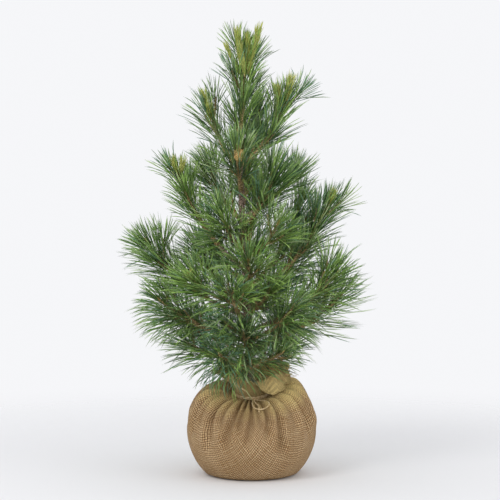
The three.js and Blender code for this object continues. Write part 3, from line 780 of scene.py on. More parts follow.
def grow_needles(brush, rng, step, length, spread, style):
    """Feet, bends and tips of the needles on one leafy core, and the bundle of each."""
    curve, bare = brush["curve"], brush["bare"] / brush["curve"].length
    droop = lerp(*DROOP, brush["height"]) * style.get("droop", 1)
    lean = np.array(style.get("lean", (0, 0, 0)))
    count = max(3, int(curve.length * (1 - bare) / step))
    share = bare + (1 - bare) * ((np.arange(count) + rng.random(count)) / count) ** 0.72
    turn = GOLDEN_TURN * np.arange(count) + rng.normal(0, 0.25, count)
    tangent, centre = curve.tangent(share), curve.at(share)
    core = lerp(2.2, 1.4, share)[:, None]
    stray = np.where(rng.random(count) < WILD_SHARE, WILD_STRAY, STRAY)
    opening = lerp(*spread, share**2) + rng.normal(0, 1, count) * stray
    vigour = 1 + rng.uniform(-1, 1, count) * NEEDLE["variation"]
    feet, directions, bows = [], [], []
    for _ in range(PER_BUNDLE):
        angle = turn + rng.normal(0, 0.015, count)
        outwards = outwards_from(tangent, angle, (0.3, 0.9, 0.05))
        splay = np.radians(np.maximum(opening + rng.normal(0, 0.55, count), 2))[:, None]
        direction = tangent * np.cos(splay) + outwards * np.sin(splay)
        direction[:, 2] -= droop * np.hypot(direction[:, 0], direction[:, 1])
        direction = unit(direction + lean)
        early = unit(tangent * np.cos(splay * 0.84) + outwards * np.sin(splay * 0.84))
        grown = length * lerp(1, NEEDLE["tip_share"], share**4)
        grown = (grown * vigour * rng.uniform(0.97, 1.03, count))[:, None]
        feet.append(centre + outwards * core * 0.8)
        directions.append(direction * grown)
        bows.append(early * grown)
    needles = (np.concatenate(x) for x in (feet, directions, bows))
    kept, order = cut_back(*needles, brush, curve.length / 2 + length + 42)
    return kept, np.tile(np.arange(count), PER_BUNDLE)[order]


print(PER_BUNDLE, "needles to a bundle, about", NEEDLE["length"], "mm long")


# %% Needles as slivers
def sliver_mesh(slivers, radius):
    """Points and triangles of all slivers: a foot ring, a ring at the bend, and a tip."""
    foot, bend, tip = slivers[:, 0], slivers[:, 1], slivers[:, 2]
    middle = 0.07 * foot + 0.38 * bend + 0.55 * tip
    along = unit(tip - foot)
    side = unit(np.cross(along, np.array([0.21, 0.35, 0.91])))
    over = np.cross(along, side)
    points = np.empty((len(slivers), 7, 3))
    for j in range(3):
        turn = j / 3 * 2 * math.pi
        ring = side * math.cos(turn) + over * math.sin(turn)
        points[:, j] = foot + ring * radius * 0.85
        points[:, 3 + j] = middle + ring * radius
    points[:, 6] = tip
    one = [[0, 2, 1]]
    for j in range(3):
        k = (j + 1) % 3
        one += [[j, k, 3 + k], [j, 3 + k, 3 + j], [3 + j, 3 + k, 6]]
    triangles = np.array(one)[None] + 7 * np.arange(len(slivers))[:, None, None]
    return points.reshape(-1, 3), triangles.reshape(-1, 3)


print("triangles in one needle:", len(sliver_mesh(np.eye(3)[None], 1.0)[1]))

# %% How the shoots differ
FRESH = {
    "mid_front", "high_left_front", "long_front", "inner_front", "mid_left_front", "far_right",
    "wide_right", "high_right_front", "tall_right_inner", "tall_left", "front_right", "high_back",
}
STYLES = {  # steps and lengths by a factor, degrees of splay, droop by a factor, a direction
    "leader": {"splay": 4, "tip": -6, "length": 0.88, "lean": (0.09, 0, 0.03)},
    "upper_left": {"sparse": 2.0, "splay": 2, "length": 0.95},
    "upper_right": {"sparse": 1.1, "splay": -2, "length": 0.9, "lean": (-0.08, 0, 0.04)},
    "high_right_back": {"sparse": 1.15, "lean": (-0.05, 0, 0.16)},
    "tall_left": {"length": 0.84, "splay": -3, "lean": (0.06, 0, 0)},
    "tall_right": {"sparse": 1.2, "length": 0.93, "lean": (-0.05, 0, 0.1)},
    "wide_left": {"droop": 0.2},
    "mid_left_front": {"lean": (-0.2, 0, 0.3)},
    "high_left_back": {"lean": (-0.1, 0, -0.15)},
    "wide_right": {"sparse": 1.3, "length": 1.05, "splay": 4, "lean": (0, 0, 0.12)},
    "far_right": {"sparse": 1.7, "length": 1.1, "splay": 6, "lean": (0.05, 0, 0.34)},
    "front_right": {"sparse": 1.7},
    "tall_right_inner": {"sparse": 1.35},
    "mid_back_right": {"sparse": 1.25},
    "low_left": {"lean": (-0.05, 0, -0.08)},
    "low_right_front": {"droop": 1.4, "lean": (0.12, 0, -0.05)},
    "high_right_front": {"length": 1.08, "splay": 4},
    "foot_front_left": {"droop": 2.0, "length": 0.9, "lean": (0.34, 0, 0)},
    "foot_front": {"droop": 1.3, "length": 0.8, "sparse": 2.2},
    "foot_left": {"droop": 0.1, "sparse": 1.2},
    "inner_low_left": {"droop": 0.7},
    "foot_front_right": {"droop": -1.2, "length": 0.62, "sparse": 1.3},
    "foot_right": {"droop": 0.0, "length": 0.8},
    "inner_low_right": {"droop": 0.0, "length": 0.75},
}
print(len(STYLES), "shoots with a style of their own,", len(FRESH), "of the fresher green")

# %% Grow every needle and deal out the tints
STEP = {"shoot": 0.74, "twig": 0.74, "spur": 0.95}  # along the core, from bundle to bundle
LENGTH = {"shoot": 1.0, "twig": 0.88, "spur": 0.8}
# the last tint dealt is painted highlight, and the last share in each row of chances is its share
DEALT = ("deep", "mid", "blue", "fresh", "painted_highlight")
CHANCES = {"fresh": (0.18, 0.29, 0.1, 0.35, 0.08), "old": (0.31, 0.31, 0.17, 0.13, 0.08)}
LEANING = 0.35  # the share of a core's bundles that take its main tint

rng = np.random.default_rng(7)
slivers = {tint: [] for tint in TINTS}
masses = {tint: set() for tint in TINTS}
for brush in brushes:
    mass, kind, height = brush["mass"], brush["kind"], brush["height"]
    style = STYLES.get(mass, {})
    wider = style.get("splay", 0)
    tip_wider = style.get("tip", wider / 2)
    spread = (lerp(*ROOT_SPREAD, height) + wider, lerp(*TIP_SPREAD, height) + tip_wider)
    if kind != "shoot":
        spread = (spread[0] * 0.85, spread[1] + 6)
    length = NEEDLE["length"] * LENGTH[kind] * style.get("length", 1)
    step = STEP[kind] * style.get("sparse", 1)
    grown, bundle = grow_needles(brush, rng, step, length, spread, style)
    chances = CHANCES["fresh" if mass in FRESH else "old"]
    main, count = rng.choice(len(DEALT), p=chances), bundle.max() + 1
    takes_main = rng.random(count) < LEANING
    picks = np.where(takes_main, main, rng.choice(len(DEALT), count, p=chances))[bundle]
    for number, tint in enumerate(DEALT):
        slivers[tint].append(grown[picks == number])
        masses[tint].add(mass)
print({tint: sum(len(x) for x in parts) for tint, parts in slivers.items()})

# %% [markdown]
# ## Candles and buds
# In spring a pine's new shoots stand up at the tips as candles: short, pale yellow-green needles
# still pressed to the stem. They sit on the leader and on a few tips at the outside of the crown.

# %% Grow the candles
CANDLES = [  # foot and tip of the candle's core, its needles' length and how far they splay
    ((-13, -20, 776), (-28, -25, 863), 32, 7),
    ((-7, -12, 782), (14, -16, 870), 31, 9),
    ((-10, -10, 790), (-7, -12, 850), 31, 9),
    ((-19, -10, 778), (-50, -12, 838), 22, 7),
    ((68, -16, 730), (76, -22, 770), 28, 18),
    ((58, -14, 720), (50, -24, 752), 28, 14),
    ((-84, -4, 706), (-93, -10, 740), 28, 12),
    ((-80, -6, 690), (-82, -16, 716), 24, 14),
    ((-144, -10, 588), (-152, -16, 612), 22, 14),
    ((-140, -10, 586), (-134, -18, 610), 22, 14),
    ((8, 82, 704), (12, 92, 742), 28, 13),
    ((-4, 96, 606), (-6, 106, 634), 24, 14),
    ((-116, -92, 384), (-120, -102, 398), 18, 30),
    ((150, -16, 528), (158, -22, 550), 20, 16),
]
for foot, tip, length, splay in CANDLES:
    foot, tip = np.array(foot, float), np.array(tip, float)
    core = Bow(foot, (foot + tip) / 2, tip)
    count = int(core.length * 3.4)
    share = rng.random(count) * 0.85
    tangent = core.tangent(share)
    outwards = outwards_from(tangent, GOLDEN_TURN * np.arange(count), (0.9, 0.3, 0.05))
    opening = np.radians(splay + rng.normal(0, 4, count))[:, None]
    direction = tangent * np.cos(opening) + outwards * np.sin(opening)
    grown = (length * rng.uniform(0.7, 1.1, count))[:, None]
    feet = core.at(share) + outwards * 1.2
    bends = feet + unit(tangent + outwards * 0.35) * grown * 0.5
    made = np.stack([feet, bends, feet + direction * grown], axis=1)
    is_pale = rng.random(count) < 0.78
    slivers["candle"].append(made[is_pale])
    slivers["fresh"].append(made[~is_pale])
masses["candle"] = {"leader", "upper_right", "upper_left", "tall_left", "upper_back"}
print(len(CANDLES), "candles")

# %% Make the needle pieces
for tint, parts in slivers.items():
    radius = NEEDLE["radius"] * (1.2 if tint == "candle" else 1)
    arrays = sliver_mesh(np.concatenate(parts), radius)
    piece = mesh_piece("needles_" + tint, *arrays, tint_materials[tint])
    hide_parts(*("needles_" + mass for mass in sorted(masses[tint])))
print("masses replaced:", len(set().union(*masses.values())), "of", len(mass_names))

# %% [markdown]
# ## Stems, boughs and trunk
# The wood is one tube for each limb, with enough rings to bend smoothly. Old needle feet stand on
# it as small scales that point towards the tip, again in a golden-angle spiral.


# %% Helpers for scaly bark
def scales_on(curve, radius_at, spacing, size):
    """Small pointed scales on a limb: four slopes on a diamond base."""
    count = int(curve.length / spacing)
    share = (np.arange(count) + 0.5) / count
    tangent = curve.tangent(share)
    turn = GOLDEN_TURN * np.arange(count) + rng.normal(0, 0.15, count)
    out = outwards_from(tangent, turn, (0.3, 0.9, 0.05))
    around = np.cross(tangent, out)
    foot = curve.at(share) + out * (radius_at(share) - 0.25)[:, None]
    long = (size * rng.uniform(0.8, 1.25, count))[:, None]
    corners = [foot - tangent * long, foot + around * long * 0.55, foot + tangent * long * 0.9,
               foot - around * long * 0.55, foot + tangent * long * 0.75 + out * long * 0.5]
    points = np.stack(corners, axis=1).reshape(-1, 3)
    one = np.array([[0, 1, 4], [1, 2, 4], [2, 3, 4], [3, 0, 4], [0, 3, 2], [0, 2, 1]])
    return points, (one[None] + 5 * np.arange(count)[:, None, None]).reshape(-1, 3)


def limb_parts(curve, ends, rings, sides, spacing, size):
    """A limb that tapers from one radius to another, as a tube with scales on it."""
    share = np.linspace(0, 1, rings)
    scaly = scales_on(curve, lambda s: lerp(*ends, s), spacing, size)
    return [tube(curve.at(share), lerp(*ends, share), sides), scaly]


# %% Make the stems inside the needles
STEM = {"shoot": (4.2, 2.0), "twig": (2.8, 1.6), "spur": (2.0, 1.3)}  # radii at foot and tip
stem_parts = []
for brush in brushes:
    rings = max(4, int(brush["curve"].length / 9))
    stem_parts += limb_parts(brush["curve"], STEM[brush["kind"]], rings, 7, 0.8, 2.6)
for foot, tip, _, _ in CANDLES:
    points = lerp(np.array(foot, float), np.array(tip, float), np.linspace(0, 1, 5)[:, None])
    stem_parts.append(tube(points, np.array([1.8, 1.9, 1.8, 1.5, 0.8]), 6))
stems = mesh_piece("shoot_stems", *joined(stem_parts), SHOOT_BARK)

# %% [markdown]
# The shoots and twigs that carry no tall candles end in a bud, and at the front of the upper
# crown stands a whole ring of fat buds. Their papery scales are orange-brown.

# %% Helper for buds
def bud(foot, along, length, girth):
    """A scaly pointed bud, as one tube with scales on it."""
    core = Bow(foot, foot + along * length * 0.5, foot + along * length)
    share = np.linspace(0, 1, 9)
    swell = girth * np.array([0.5, 0.86, 1.0, 1.0, 0.92, 0.76, 0.55, 0.32, 0.08])
    scaly = scales_on(core, lambda s: np.interp(s, share, swell), 0.28, girth * 0.75)
    return [tube(core.at(share), swell, 9), scaly]


# %% Make the buds
bud_parts = []
for brush in brushes:
    is_candled = brush["mass"] in masses["candle"] and brush["kind"] == "shoot"
    if is_candled or brush["kind"] == "spur":
        continue
    tip, along = brush["curve"].at(1.0), unit(brush["curve"].tangent(1.0) + UP * 0.3)
    size = lerp(9.0, 15.0, brush["height"]) if brush["kind"] == "shoot" else 8.0
    bud_parts += bud(tip - along * 3, along, size, size * 0.17)
ring_foot = np.array([-24.0, -88.0, 612.0])
bud_parts += bud(ring_foot, unit(UP + [0, -0.1, 0]), 28.0, 4.2)
for k in range(6):
    lean = np.array([math.cos(k * 1.05), math.sin(k * 1.05), 0]) * 0.42
    bud_parts += bud(ring_foot + lean * 7, unit(UP + lean * 0.6), 21.0, 3.4)
buds = mesh_piece("winter_buds", *joined(bud_parts), BUD)

# %% Make the boughs
bough_parts, bough_nodes = [], []
for shoot in shoots:
    if not shoot["limb"]:
        continue
    ends = (LIMB["foot"] * shoot["girth"], LIMB["tip"])
    bough_parts += limb_parts(shoot["limb"], ends, 10, 12, 0.5, 2.0)
    bough_nodes.append("bough_" + shoot["name"])
boughs = mesh_piece("bough_bark", *joined(bough_parts), BARK)
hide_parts(*bough_nodes)

# %% [markdown]
# The trunk starts as a circle and is extruded upwards ring by ring, each ring moved onto the
# leaning axis and scaled to the taper, with a root flare at the foot. One level of subdivision
# then gives the Displace modifier enough points for the bark's plates.


# %% Helpers for modelling by operators
def deselect_all():
    bpy.ops.object.select_all(action="DESELECT")


def apply_modifier(piece, kind, **settings):
    modifier = piece.modifiers.new(kind.lower(), kind)
    for key, value in settings.items():
        setattr(modifier, key, value)
    bpy.context.view_layer.objects.active = piece
    bpy.ops.object.modifier_apply(modifier=modifier.name)


def roughen(piece, texture, strength, mid_level):
    """Subdivides a piece once and moves its points in and out by a texture."""
    apply_modifier(piece, "SUBSURF", levels=1, render_levels=1, subdivision_type="SIMPLE")
    settings = {"texture_coords": "LOCAL", "strength": strength, "mid_level": mid_level}
    apply_modifier(piece, "DISPLACE", texture=texture, **settings)


def extrude_rings(name, rings, sides, start_radius):
    """A round form: a filled circle, extruded through rings of (x, y, z, radius), in millimetres."""
    deselect_all()
    x, y, z, _ = rings[0]
    bpy.ops.mesh.primitive_circle_add(
        vertices=sides, radius=start_radius * MM, fill_type="NGON", location=(x * MM, y * MM, z * MM)
    )
    piece = bpy.context.object
    piece.name = piece.data.name = name
    bpy.ops.object.transform_apply(location=True, rotation=True, scale=True)
    bpy.ops.object.mode_set(mode="EDIT")
    bpy.ops.mesh.select_all(action="SELECT")
    before = (x, y, z, start_radius)
    for ring in rings:
        move = [(ring[k] - before[k]) * MM for k in range(3)]
        bpy.ops.mesh.extrude_region_move(TRANSFORM_OT_translate={"value": move})
        grow = ring[3] / before[3]
        centre = [ring[k] * MM for k in range(3)]
        bpy.ops.transform.resize(value=(grow, grow, 1), center_override=centre)
        before = ring
    bpy.ops.object.mode_set(mode="OBJECT")
    return piece


# %% Make the trunk
trunk_rings = []
for share in np.linspace(0.012, 1, 46) ** 1.2:
    height = float(lerp(TRUNK["foot"], TRUNK["tip"], share))
    trunk_rings.append((*trunk_axis(height), float(trunk_radius(height))))
foot_ring = (*trunk_axis(TRUNK["foot"]), float(trunk_radius(TRUNK["foot"])))
trunk = extrude_rings("trunk_bark", [foot_ring, *trunk_rings], 16, foot_ring[3])
plates = bpy.data.textures.new("bark_plates", "VORONOI")
plates.noise_scale = 0.007
plates.distance_metric = "DISTANCE_SQUARED"
roughen(trunk, plates, 0.0016, 0.5)
bpy.ops.object.shade_smooth()
trunk.data.materials.append(BARK)
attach(trunk, "root")
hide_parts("trunk")
print("trunk", len(trunk.data.polygons), "faces")

# %% Make the trunk's scales
scale_parts = []
heights = np.linspace(TRUNK["foot"] + 4, TRUNK["tip"], 10)
for low, high in zip(heights[:-1], heights[1:]):
    a, b, c = trunk_axis(low), trunk_axis((low + high) / 2), trunk_axis(high)
    stretch = Bow(a, 2 * b - (a + c) / 2, c)  # passes through b, so it follows the trunk's sway
    radius_at = lambda s, ends=(low, high): trunk_radius(lerp(*ends, s)) + 0.2
    scale_parts.append(scales_on(stretch, radius_at, 0.32, 2.4))
trunk_scales = mesh_piece("trunk_scales", *joined(scale_parts), BARK)

# %% [markdown]
# ## Burlap
# Burlap is a loose plain weave of jute. The nursery stands the ball on a square of it, lifts the
# corners and gathers them at the trunk, so the cloth is smooth below the waist and pleated above
# it. It starts as a filled circle, extruded ring by ring up the ball, through the neck and out
# into the gathered collar. The pleats are then pressed in by moving points, which places each
# fold, where a cloth simulation would put them anywhere.

# %% Folds of the cloth
CREASES = [  # azimuth from the front in degrees, depth and half-width, and how far up it starts
    (-84, 5.0, 4.0, 0.1), (-68, 7.0, 3.4, -0.1), (-55, 5.0, 3.0, 0.08), (-43, 9.5, 3.4, -0.24),
    (-30, 6.5, 2.8, 0.04), (-20, 10.0, 3.0, -0.22), (-10, 7.0, 2.5, 0.0), (-1, 9.0, 2.7, -0.2),
    (8, 6.5, 2.5, 0.1), (17, 8.0, 2.8, -0.1), (29, 9.5, 3.1, -0.28), (44, 5.5, 3.2, 0.05),
    (58, 8.0, 3.6, -0.12), (74, 6.0, 4.0, 0.0),
]
rng = np.random.default_rng(11)
for azimuth in np.arange(91, 276, 14):
    place = azimuth + rng.uniform(-4, 4)
    CREASES.append((place, rng.uniform(5, 9), rng.uniform(3.2, 4.6), rng.uniform(-0.06, 0.16)))


def pleat_depth(climb):
    return lerp(4.8, 0.9, smooth(climb, 0.62, 1))


def folds(angle, climb):
    """How far the cloth stands out of the smooth shape, in millimetres."""
    fade = smooth(climb, 0.04, 0.5 - 0.2 * frontness(angle))
    out = 0.45 * pleat_depth(climb) * fade * pleat_wave(angle)
    for azimuth, deep, half_width, start in CREASES:
        bend = 3.0 * math.sin(azimuth + 4 * climb)
        apart = np.degrees(angle) + 90 - azimuth - bend * (1 - climb)
        apart = (apart + 180) % 360 - 180
        width = half_width * lerp(1.15, 1.0, climb)
        strength = smooth(climb, start, start + 0.26) * lerp(1, 0.4, smooth(climb, 0.8, 1))
        crease = np.exp(-((apart / width) ** 2))
        ridge = np.exp(-(((apart - 1.7 * width) / (1.3 * width)) ** 2))
        ridge += np.exp(-(((apart + 1.7 * width) / (1.3 * width)) ** 2))
        out = out + deep * strength * (0.42 * ridge - 1.2 * crease)
    fine = 0.9 * np.cos(41 * angle + 3 * np.sin(2 * angle) + 5 * climb) * smooth(climb, 0.45, 0.8)
    slack = 0.8 * np.sin(4 * angle + 2.2 * climb) + 0.6 * np.sin(7 * angle - 3 * climb)
    return out + fine + slack * (1 - climb)


print(len(CREASES), "creases")

# %% Gathered collar
FLAP = {"azimuth": 56.0, "half_width": 40.0, "crest": 34.0, "crest_at": 0.46, "rest": 3.0}


def collar_point(angle, spread, lift):
    """Points of the ruffled collar, which rolls over and lies on the shoulder at the flap."""
    reach = collar_reach(angle)
    wave = 8 * angle + 1.3 * np.sin(2 * angle)
    frill = COLLAR["ruffle"] * np.cos(wave) + 2.2 * np.cos(19 * angle + 2 * spread)
    flap = np.exp(-(((np.degrees(angle) + 90 - FLAP["azimuth"]) / FLAP["half_width"]) ** 2))
    notch = 4 * flap * (1 - flap)
    radius = NECK["radius"] + spread * (reach + frill * (1 - 0.5 * flap)) * (1 - 0.16 * notch)
    rise = collar_rise(angle, spread) + 0.5 * COLLAR["ruffle"] * spread * np.sin(wave)
    rise += 1.6 * spread * np.sin(23 * angle + 1)
    band_top = neck_plane(radius, angle) + NECK["band"] + lift
    rests = shoulder_top(radius, angle) + FLAP["rest"] + 0.5 * np.abs(frill)
    to_crest = math.sin(math.pi * min(spread / FLAP["crest_at"], 1) / 2)
    rolled = band_top + FLAP["crest"] * to_crest + 0.3 * frill
    rolled = lerp(rolled, rests, smooth(spread, FLAP["crest_at"], 0.96))
    height = lerp(band_top + rise, rolled, flap) - 6 * notch * smooth(spread, 0.3, 1.0)
    if spread > 0.05:
        height = np.maximum(height, rests)
    return polar(radius, angle, height)


print("rim at the front", collar_point(np.array([-math.pi / 2]), 1.0, 0.0)[0].round(1), "mm")


# %% Model the wrap
AROUND = 420
UNDERSIDE = (20.0, 52.0, BALL["foot"])  # radii of the rings under the ball
RISES = lerp(BALL["hem"] / BALL["waist"], 1, np.linspace(0, 1, 22)[:-1])  # rings up to the waist
CLIMBS = np.linspace(0, 1, 44)  # rings from the waist to the neck
SPREADS = np.linspace(0, 1, 18)  # rings out over the collar
ring_count = len(UNDERSIDE) + len(RISES) + len(CLIMBS) + len(SPREADS)
straight = [(0.0, 0.0, 0.0, 60.0), (0.0, 0.0, 0.0, BALL["foot"])]
straight += [(0.0, 0.0, float(k), 90.0) for k in range(1, ring_count - 2)]
wrap = extrude_rings("burlap_wrap", straight, AROUND, 30.0)
bpy.ops.object.mode_set(mode="EDIT")
bpy.ops.mesh.delete(type="ONLY_FACE")  # the lid, which is still selected, so the mouth is open
bpy.ops.object.mode_set(mode="OBJECT")
print("a plain tube of", ring_count, "rings")


# %% Press it into shape
def ring_shape(number, angle):
    """Where the points of one ring lie, by their angles round the ball."""
    if number < len(UNDERSIDE):
        return polar(UNDERSIDE[number] + 0 * angle, angle, 0.0)
    number -= len(UNDERSIDE)
    if number < len(RISES):
        rise = RISES[number]
        depth = folds(angle, (rise - 1) / 2) * smooth(rise, 0.1, 0.6)
        return sunk(lower_point(angle, rise), -depth)
    number -= len(RISES)
    if number < len(CLIMBS):
        return sunk(upper_point(angle, CLIMBS[number]), -folds(angle, CLIMBS[number]))
    return collar_point(angle, SPREADS[number - len(CLIMBS)], 1.0)


count = len(wrap.data.vertices)
co = np.empty(count * 3)
wrap.data.vertices.foreach_get("co", co)
co = co.reshape(-1, 3) / MM
angle = np.arctan2(co[:, 1], co[:, 0])
ring = np.arange(count) // AROUND
shape = np.empty_like(co)
for number in range(ring_count):
    on = ring == number
    shape[on] = ring_shape(number, angle[on])
wrap.data.vertices.foreach_set("co", (shape * MM).ravel())
wrap.data.update()
print("points moved:", count)

# %% [markdown]
# The weave needs a map that follows the cloth. The sheet was flat and square once, so each point
# gets its place on that sheet: its distance along the cloth from the middle of the underside, in
# its own direction, with the square turned an eighth of a turn, so that the threads run slantwise
# at the front.

# %% Map the cloth as the flat sheet it was
CLOTH = 1.5
profile = np.array([shape[ring == n].mean(axis=0) for n in range(ring_count)])
mean_radius = np.array([np.hypot(*shape[ring == n][:, :2].T).mean() for n in range(ring_count)])
steps = np.hypot(np.diff(mean_radius), np.diff(profile[:, 2]))
walked = mean_radius[0] + np.concatenate([[0], np.cumsum(steps)])
turned = angle + math.pi / 4
flat = walked[ring][:, None] * np.stack([np.cos(turned), np.sin(turned)], axis=1)
corner_points = np.empty(len(wrap.data.loops), int)
wrap.data.loops.foreach_get("vertex_index", corner_points)
wrap.data.uv_layers["UVMap"].data.foreach_set("uv", (flat[corner_points] * MM).ravel())
apply_modifier(wrap, "SOLIDIFY", thickness=CLOTH * MM, offset=-1.0)
bpy.ops.object.shade_smooth()
print("cloth from middle to rim:", round(walked[-1]), "mm;", len(wrap.data.polygons), "faces")

# %% [markdown]
# The weave is worked out from the sheet map. A warp thread and a weft thread each have a round
# profile, and a checker of crossings says which lies on top. Dark gaps show between the threads,
# and slow noises tug the threads out of line, as handling does.

# %% Weave of the threads
def scaled(tree, vector, factor):
    return put(tree, "VectorMath", {0: vector, "Scale": factor}, operation="SCALE").outputs[0]


def added(tree, a, b):
    return put(tree, "VectorMath", {0: a, 1: b}, operation="ADD").outputs[0]


def thread_profile(tree, place):
    return maths(tree, "ABSOLUTE", maths(tree, "SINE", maths(tree, "MULTIPLY", place, math.pi)))


weave, w_in, w_out = new_group(
    "plain_weave",
    {"Vector": "Vector", "Threads": "Float"},
    {"Gap": "Float", "Height": "Float", "Warp": "Float"},
)
w_drift = put(weave, "TexNoise", {"Vector": w_in["Vector"], "Scale": 60.0, "Detail": 2.0})
w_tug = put(weave, "TexNoise", {"Vector": w_in["Vector"], "Scale": 14.0, "Detail": 1.0})
w_small, w_large = (scaled(weave, n.outputs["Color"], k) for n, k in ((w_drift, 1.1), (w_tug, 3.0)))
w_place = added(weave, scaled(weave, w_in["Vector"], w_in["Threads"]), added(weave, w_small, w_large))
w_axes = put(weave, "SeparateXYZ", {0: w_place}).outputs
warp, weft = thread_profile(weave, w_axes[0]), thread_profile(weave, w_axes[1])
cells = maths(weave, "ADD", maths(weave, "FLOOR", w_axes[0]), maths(weave, "FLOOR", w_axes[1]))
checker = maths(weave, "MODULO", maths(weave, "ABSOLUTE", cells), 2.0)
over_warp = maths(weave, "MULTIPLY", warp, maths(weave, "MULTIPLY_ADD", checker, 0.55, 0.45))
over_weft = maths(weave, "MULTIPLY", weft, maths(weave, "MULTIPLY_ADD", checker, -0.55, 1.0))
height = maths(weave, "MAXIMUM", over_warp, over_weft)
weave.links.new(height, w_out["Height"])
weave.links.new(ranged(weave, height, 0.44, 0.86), w_out["Gap"])
weave.links.new(maths(weave, "GREATER_THAN", over_warp, over_weft), w_out["Warp"])
print("nodes in the weave:", len(weave.nodes))

# %% Burlap finish
THREADS = 226.0  # to the metre; slubs, the thick stretches of a thread, are as close across them
BURLAP, tree, shader, place = new_material("burlap", 0.92, Specular_IOR_Level=0.2)
sheet = put(tree, "UVMap", uv_map="UVMap").outputs[0]
threads = use_group(tree, weave, {"Vector": sheet, "Threads": THREADS})
tone = mottling(tree, place, 18.0, "a98455", "d3b286")
slubs = []
for stretch in ((14, THREADS, 1), (THREADS, 14, 1)):
    along = put(tree, "Mapping", {"Vector": sheet, "Scale": stretch}).outputs[0]
    slubs.append(mottling(tree, along, 1.0, "966c3e", "f2d8ac"))
fibre = mixed(tree, threads["Warp"], slubs[0]["Color"], slubs[1]["Color"])
jute = mixed(tree, 0.5, tone["Color"], fibre)
# Painted light on the collar and neck: above the tilted neck plane the cloth is mixed towards a pale
# gold and its dark gaps are filled in. This stands for light reflected from the needles and lifts the
# cloth out of their shade.
axes = put(tree, "SeparateXYZ", {0: place}).outputs
level = maths(tree, "MULTIPLY_ADD", axes[1], -NECK["tilt"], axes[2])
collar_painted_light = maths(tree, "MULTIPLY", ranged(tree, level, 0.152, 0.178), 0.7)  # painted light: the needles' reflected light, and a lift against their shade
jute = mixed(tree, collar_painted_light, jute, rgba("f6de92"))
shown = maths(tree, "MAXIMUM", threads["Gap"], maths(tree, "MULTIPLY", collar_painted_light, 0.85))
colour = mixed(tree, shown, rgba("674c30"), jute)
tree.links.new(colour, shader["Base Color"])
raise_relief(tree, shader, threads["Height"], 0.0016, 1.0)
wrap.data.materials.append(BURLAP)
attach(wrap, "root")
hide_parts("root_ball_burlap")
print("burlap of", THREADS, "threads to the metre")

# %% [markdown]
# Cut burlap frays. Loose threads stand out of the collar's rim, each a thin bent sliver.

# %% Frayed threads on the rim
FRAYS = 420
JUTE = mottled_material("jute_thread", 0.9, 0.2, 120.0, "a98a56", "d8bd8c")
rim_angles = rng.uniform(0, 2 * math.pi, FRAYS)
foot = collar_point(rim_angles, 0.985, 0.3)
away = polar(np.ones(FRAYS), rim_angles, 0.0) * rng.uniform(0.3, 1, (FRAYS, 1))
away = unit(away + UP * rng.uniform(-0.5, 0.9, (FRAYS, 1)) + rng.normal(0, 0.35, (FRAYS, 3)))
size = rng.uniform(3, 9, (FRAYS, 1))
bend = foot + away * size * 0.5 + rng.normal(0, 0.8, (FRAYS, 3))
fray_points, fray_triangles = sliver_mesh(np.stack([foot, bend, foot + away * size], axis=1), 0.35)
frayed = mesh_piece("burlap_frays", fray_points, fray_triangles, JUTE)

# %% [markdown]
# ## Twine
# Garden twine is jute in two plies, twisted together. Each strand follows the route that ties the
# cloth: two turns round the neck, a slack loop, a short end, a long end and a knot. Every ply is a
# thin tube that winds round that route, so the twist is real and catches the light.


# %% Routes and plies
SPAN_STEPS = 14


def smooth_route(points):
    """A curve through points, as Catmull and Rom draw it."""
    points = np.array(points, float)
    padded = np.concatenate([[2 * points[0] - points[1]], points, [2 * points[-1] - points[-2]]])
    t = (np.arange(SPAN_STEPS) / SPAN_STEPS)[:, None]
    out = []
    for p0, p1, p2, p3 in zip(padded, padded[1:], padded[2:], padded[3:]):
        square, cube = 2 * p0 - 5 * p1 + 4 * p2 - p3, 3 * p1 - p0 - 3 * p2 + p3
        out.append(0.5 * (2 * p1 + (p2 - p0) * t + square * t**2 + cube * t**3))
    return np.concatenate([*out, points[-1:]])


def plies(route, radius, is_closed=False, pitch=7.0):
    """Two plies that wind round a route."""
    side, over = frames_along(route, is_closed)
    walked = np.concatenate([[0], np.cumsum(np.linalg.norm(np.diff(route, axis=0), axis=1))])
    whole = walked[-1] + (np.linalg.norm(route[0] - route[-1]) if is_closed else 0)
    turns = max(1, round(whole / pitch)) * 2 * math.pi * walked / whole
    parts = []
    for ply in (0, math.pi):
        wind = (turns + ply)[:, None]
        path = route + (side * np.cos(wind) + over * np.sin(wind)) * radius * 0.45
        parts.append(tube(path, radius * 0.58, 6, is_closed))
    return parts


def ring_of(steps):
    return np.linspace(0, 2 * math.pi, steps + 1)[:-1]


print("a span of a route has", SPAN_STEPS, "steps")


# %% Tie the twine
def on_pleats(turn, climb):
    """A place on the pleats: its angle from the front, and how far up the shoulder it lies."""
    point = upper_point(np.array([turn - math.pi / 2]), climb)
    return sunk(point, np.array([-float(pleat_depth(climb)) - 2.8]))[0]


twine_parts = []
radius = NECK["radius"] + 1.6 + 0.5  # half the twine's width, and a little room
for share in (0.25, 0.5):
    around = ring_of(180)
    route = polar(radius + 0 * around, around, 0.0)
    route[:, 2] = neck_plane(radius, around) + NECK["band"] * share
    twine_parts += plies(route, 1.35, is_closed=True)
knot = np.array([4.0, -(NECK["radius"] + 4.6), 0.0])
knot[2] = neck_plane(np.linalg.norm(knot[:2]), -math.pi / 2) + NECK["band"] * 0.25
loop = ((0.02, 0.86), (0.07, 0.72), (0.22, 0.65), (0.38, 0.7), (0.42, 0.82))
loop = [knot, *(on_pleats(*place) for place in loop), knot + [1, 0, 0]]
short_end = [knot, *(on_pleats(*place) for place in ((0.12, 0.86), (0.17, 0.75), (0.14, 0.6)))]
long_end = [knot, knot + [-6, -12, 7], knot + [-15, -18, 19], knot + [-28, -18, 27]]
for points in (loop, short_end, long_end):
    twine_parts += plies(smooth_route(points), 1.25)
wraps = ring_of(32)
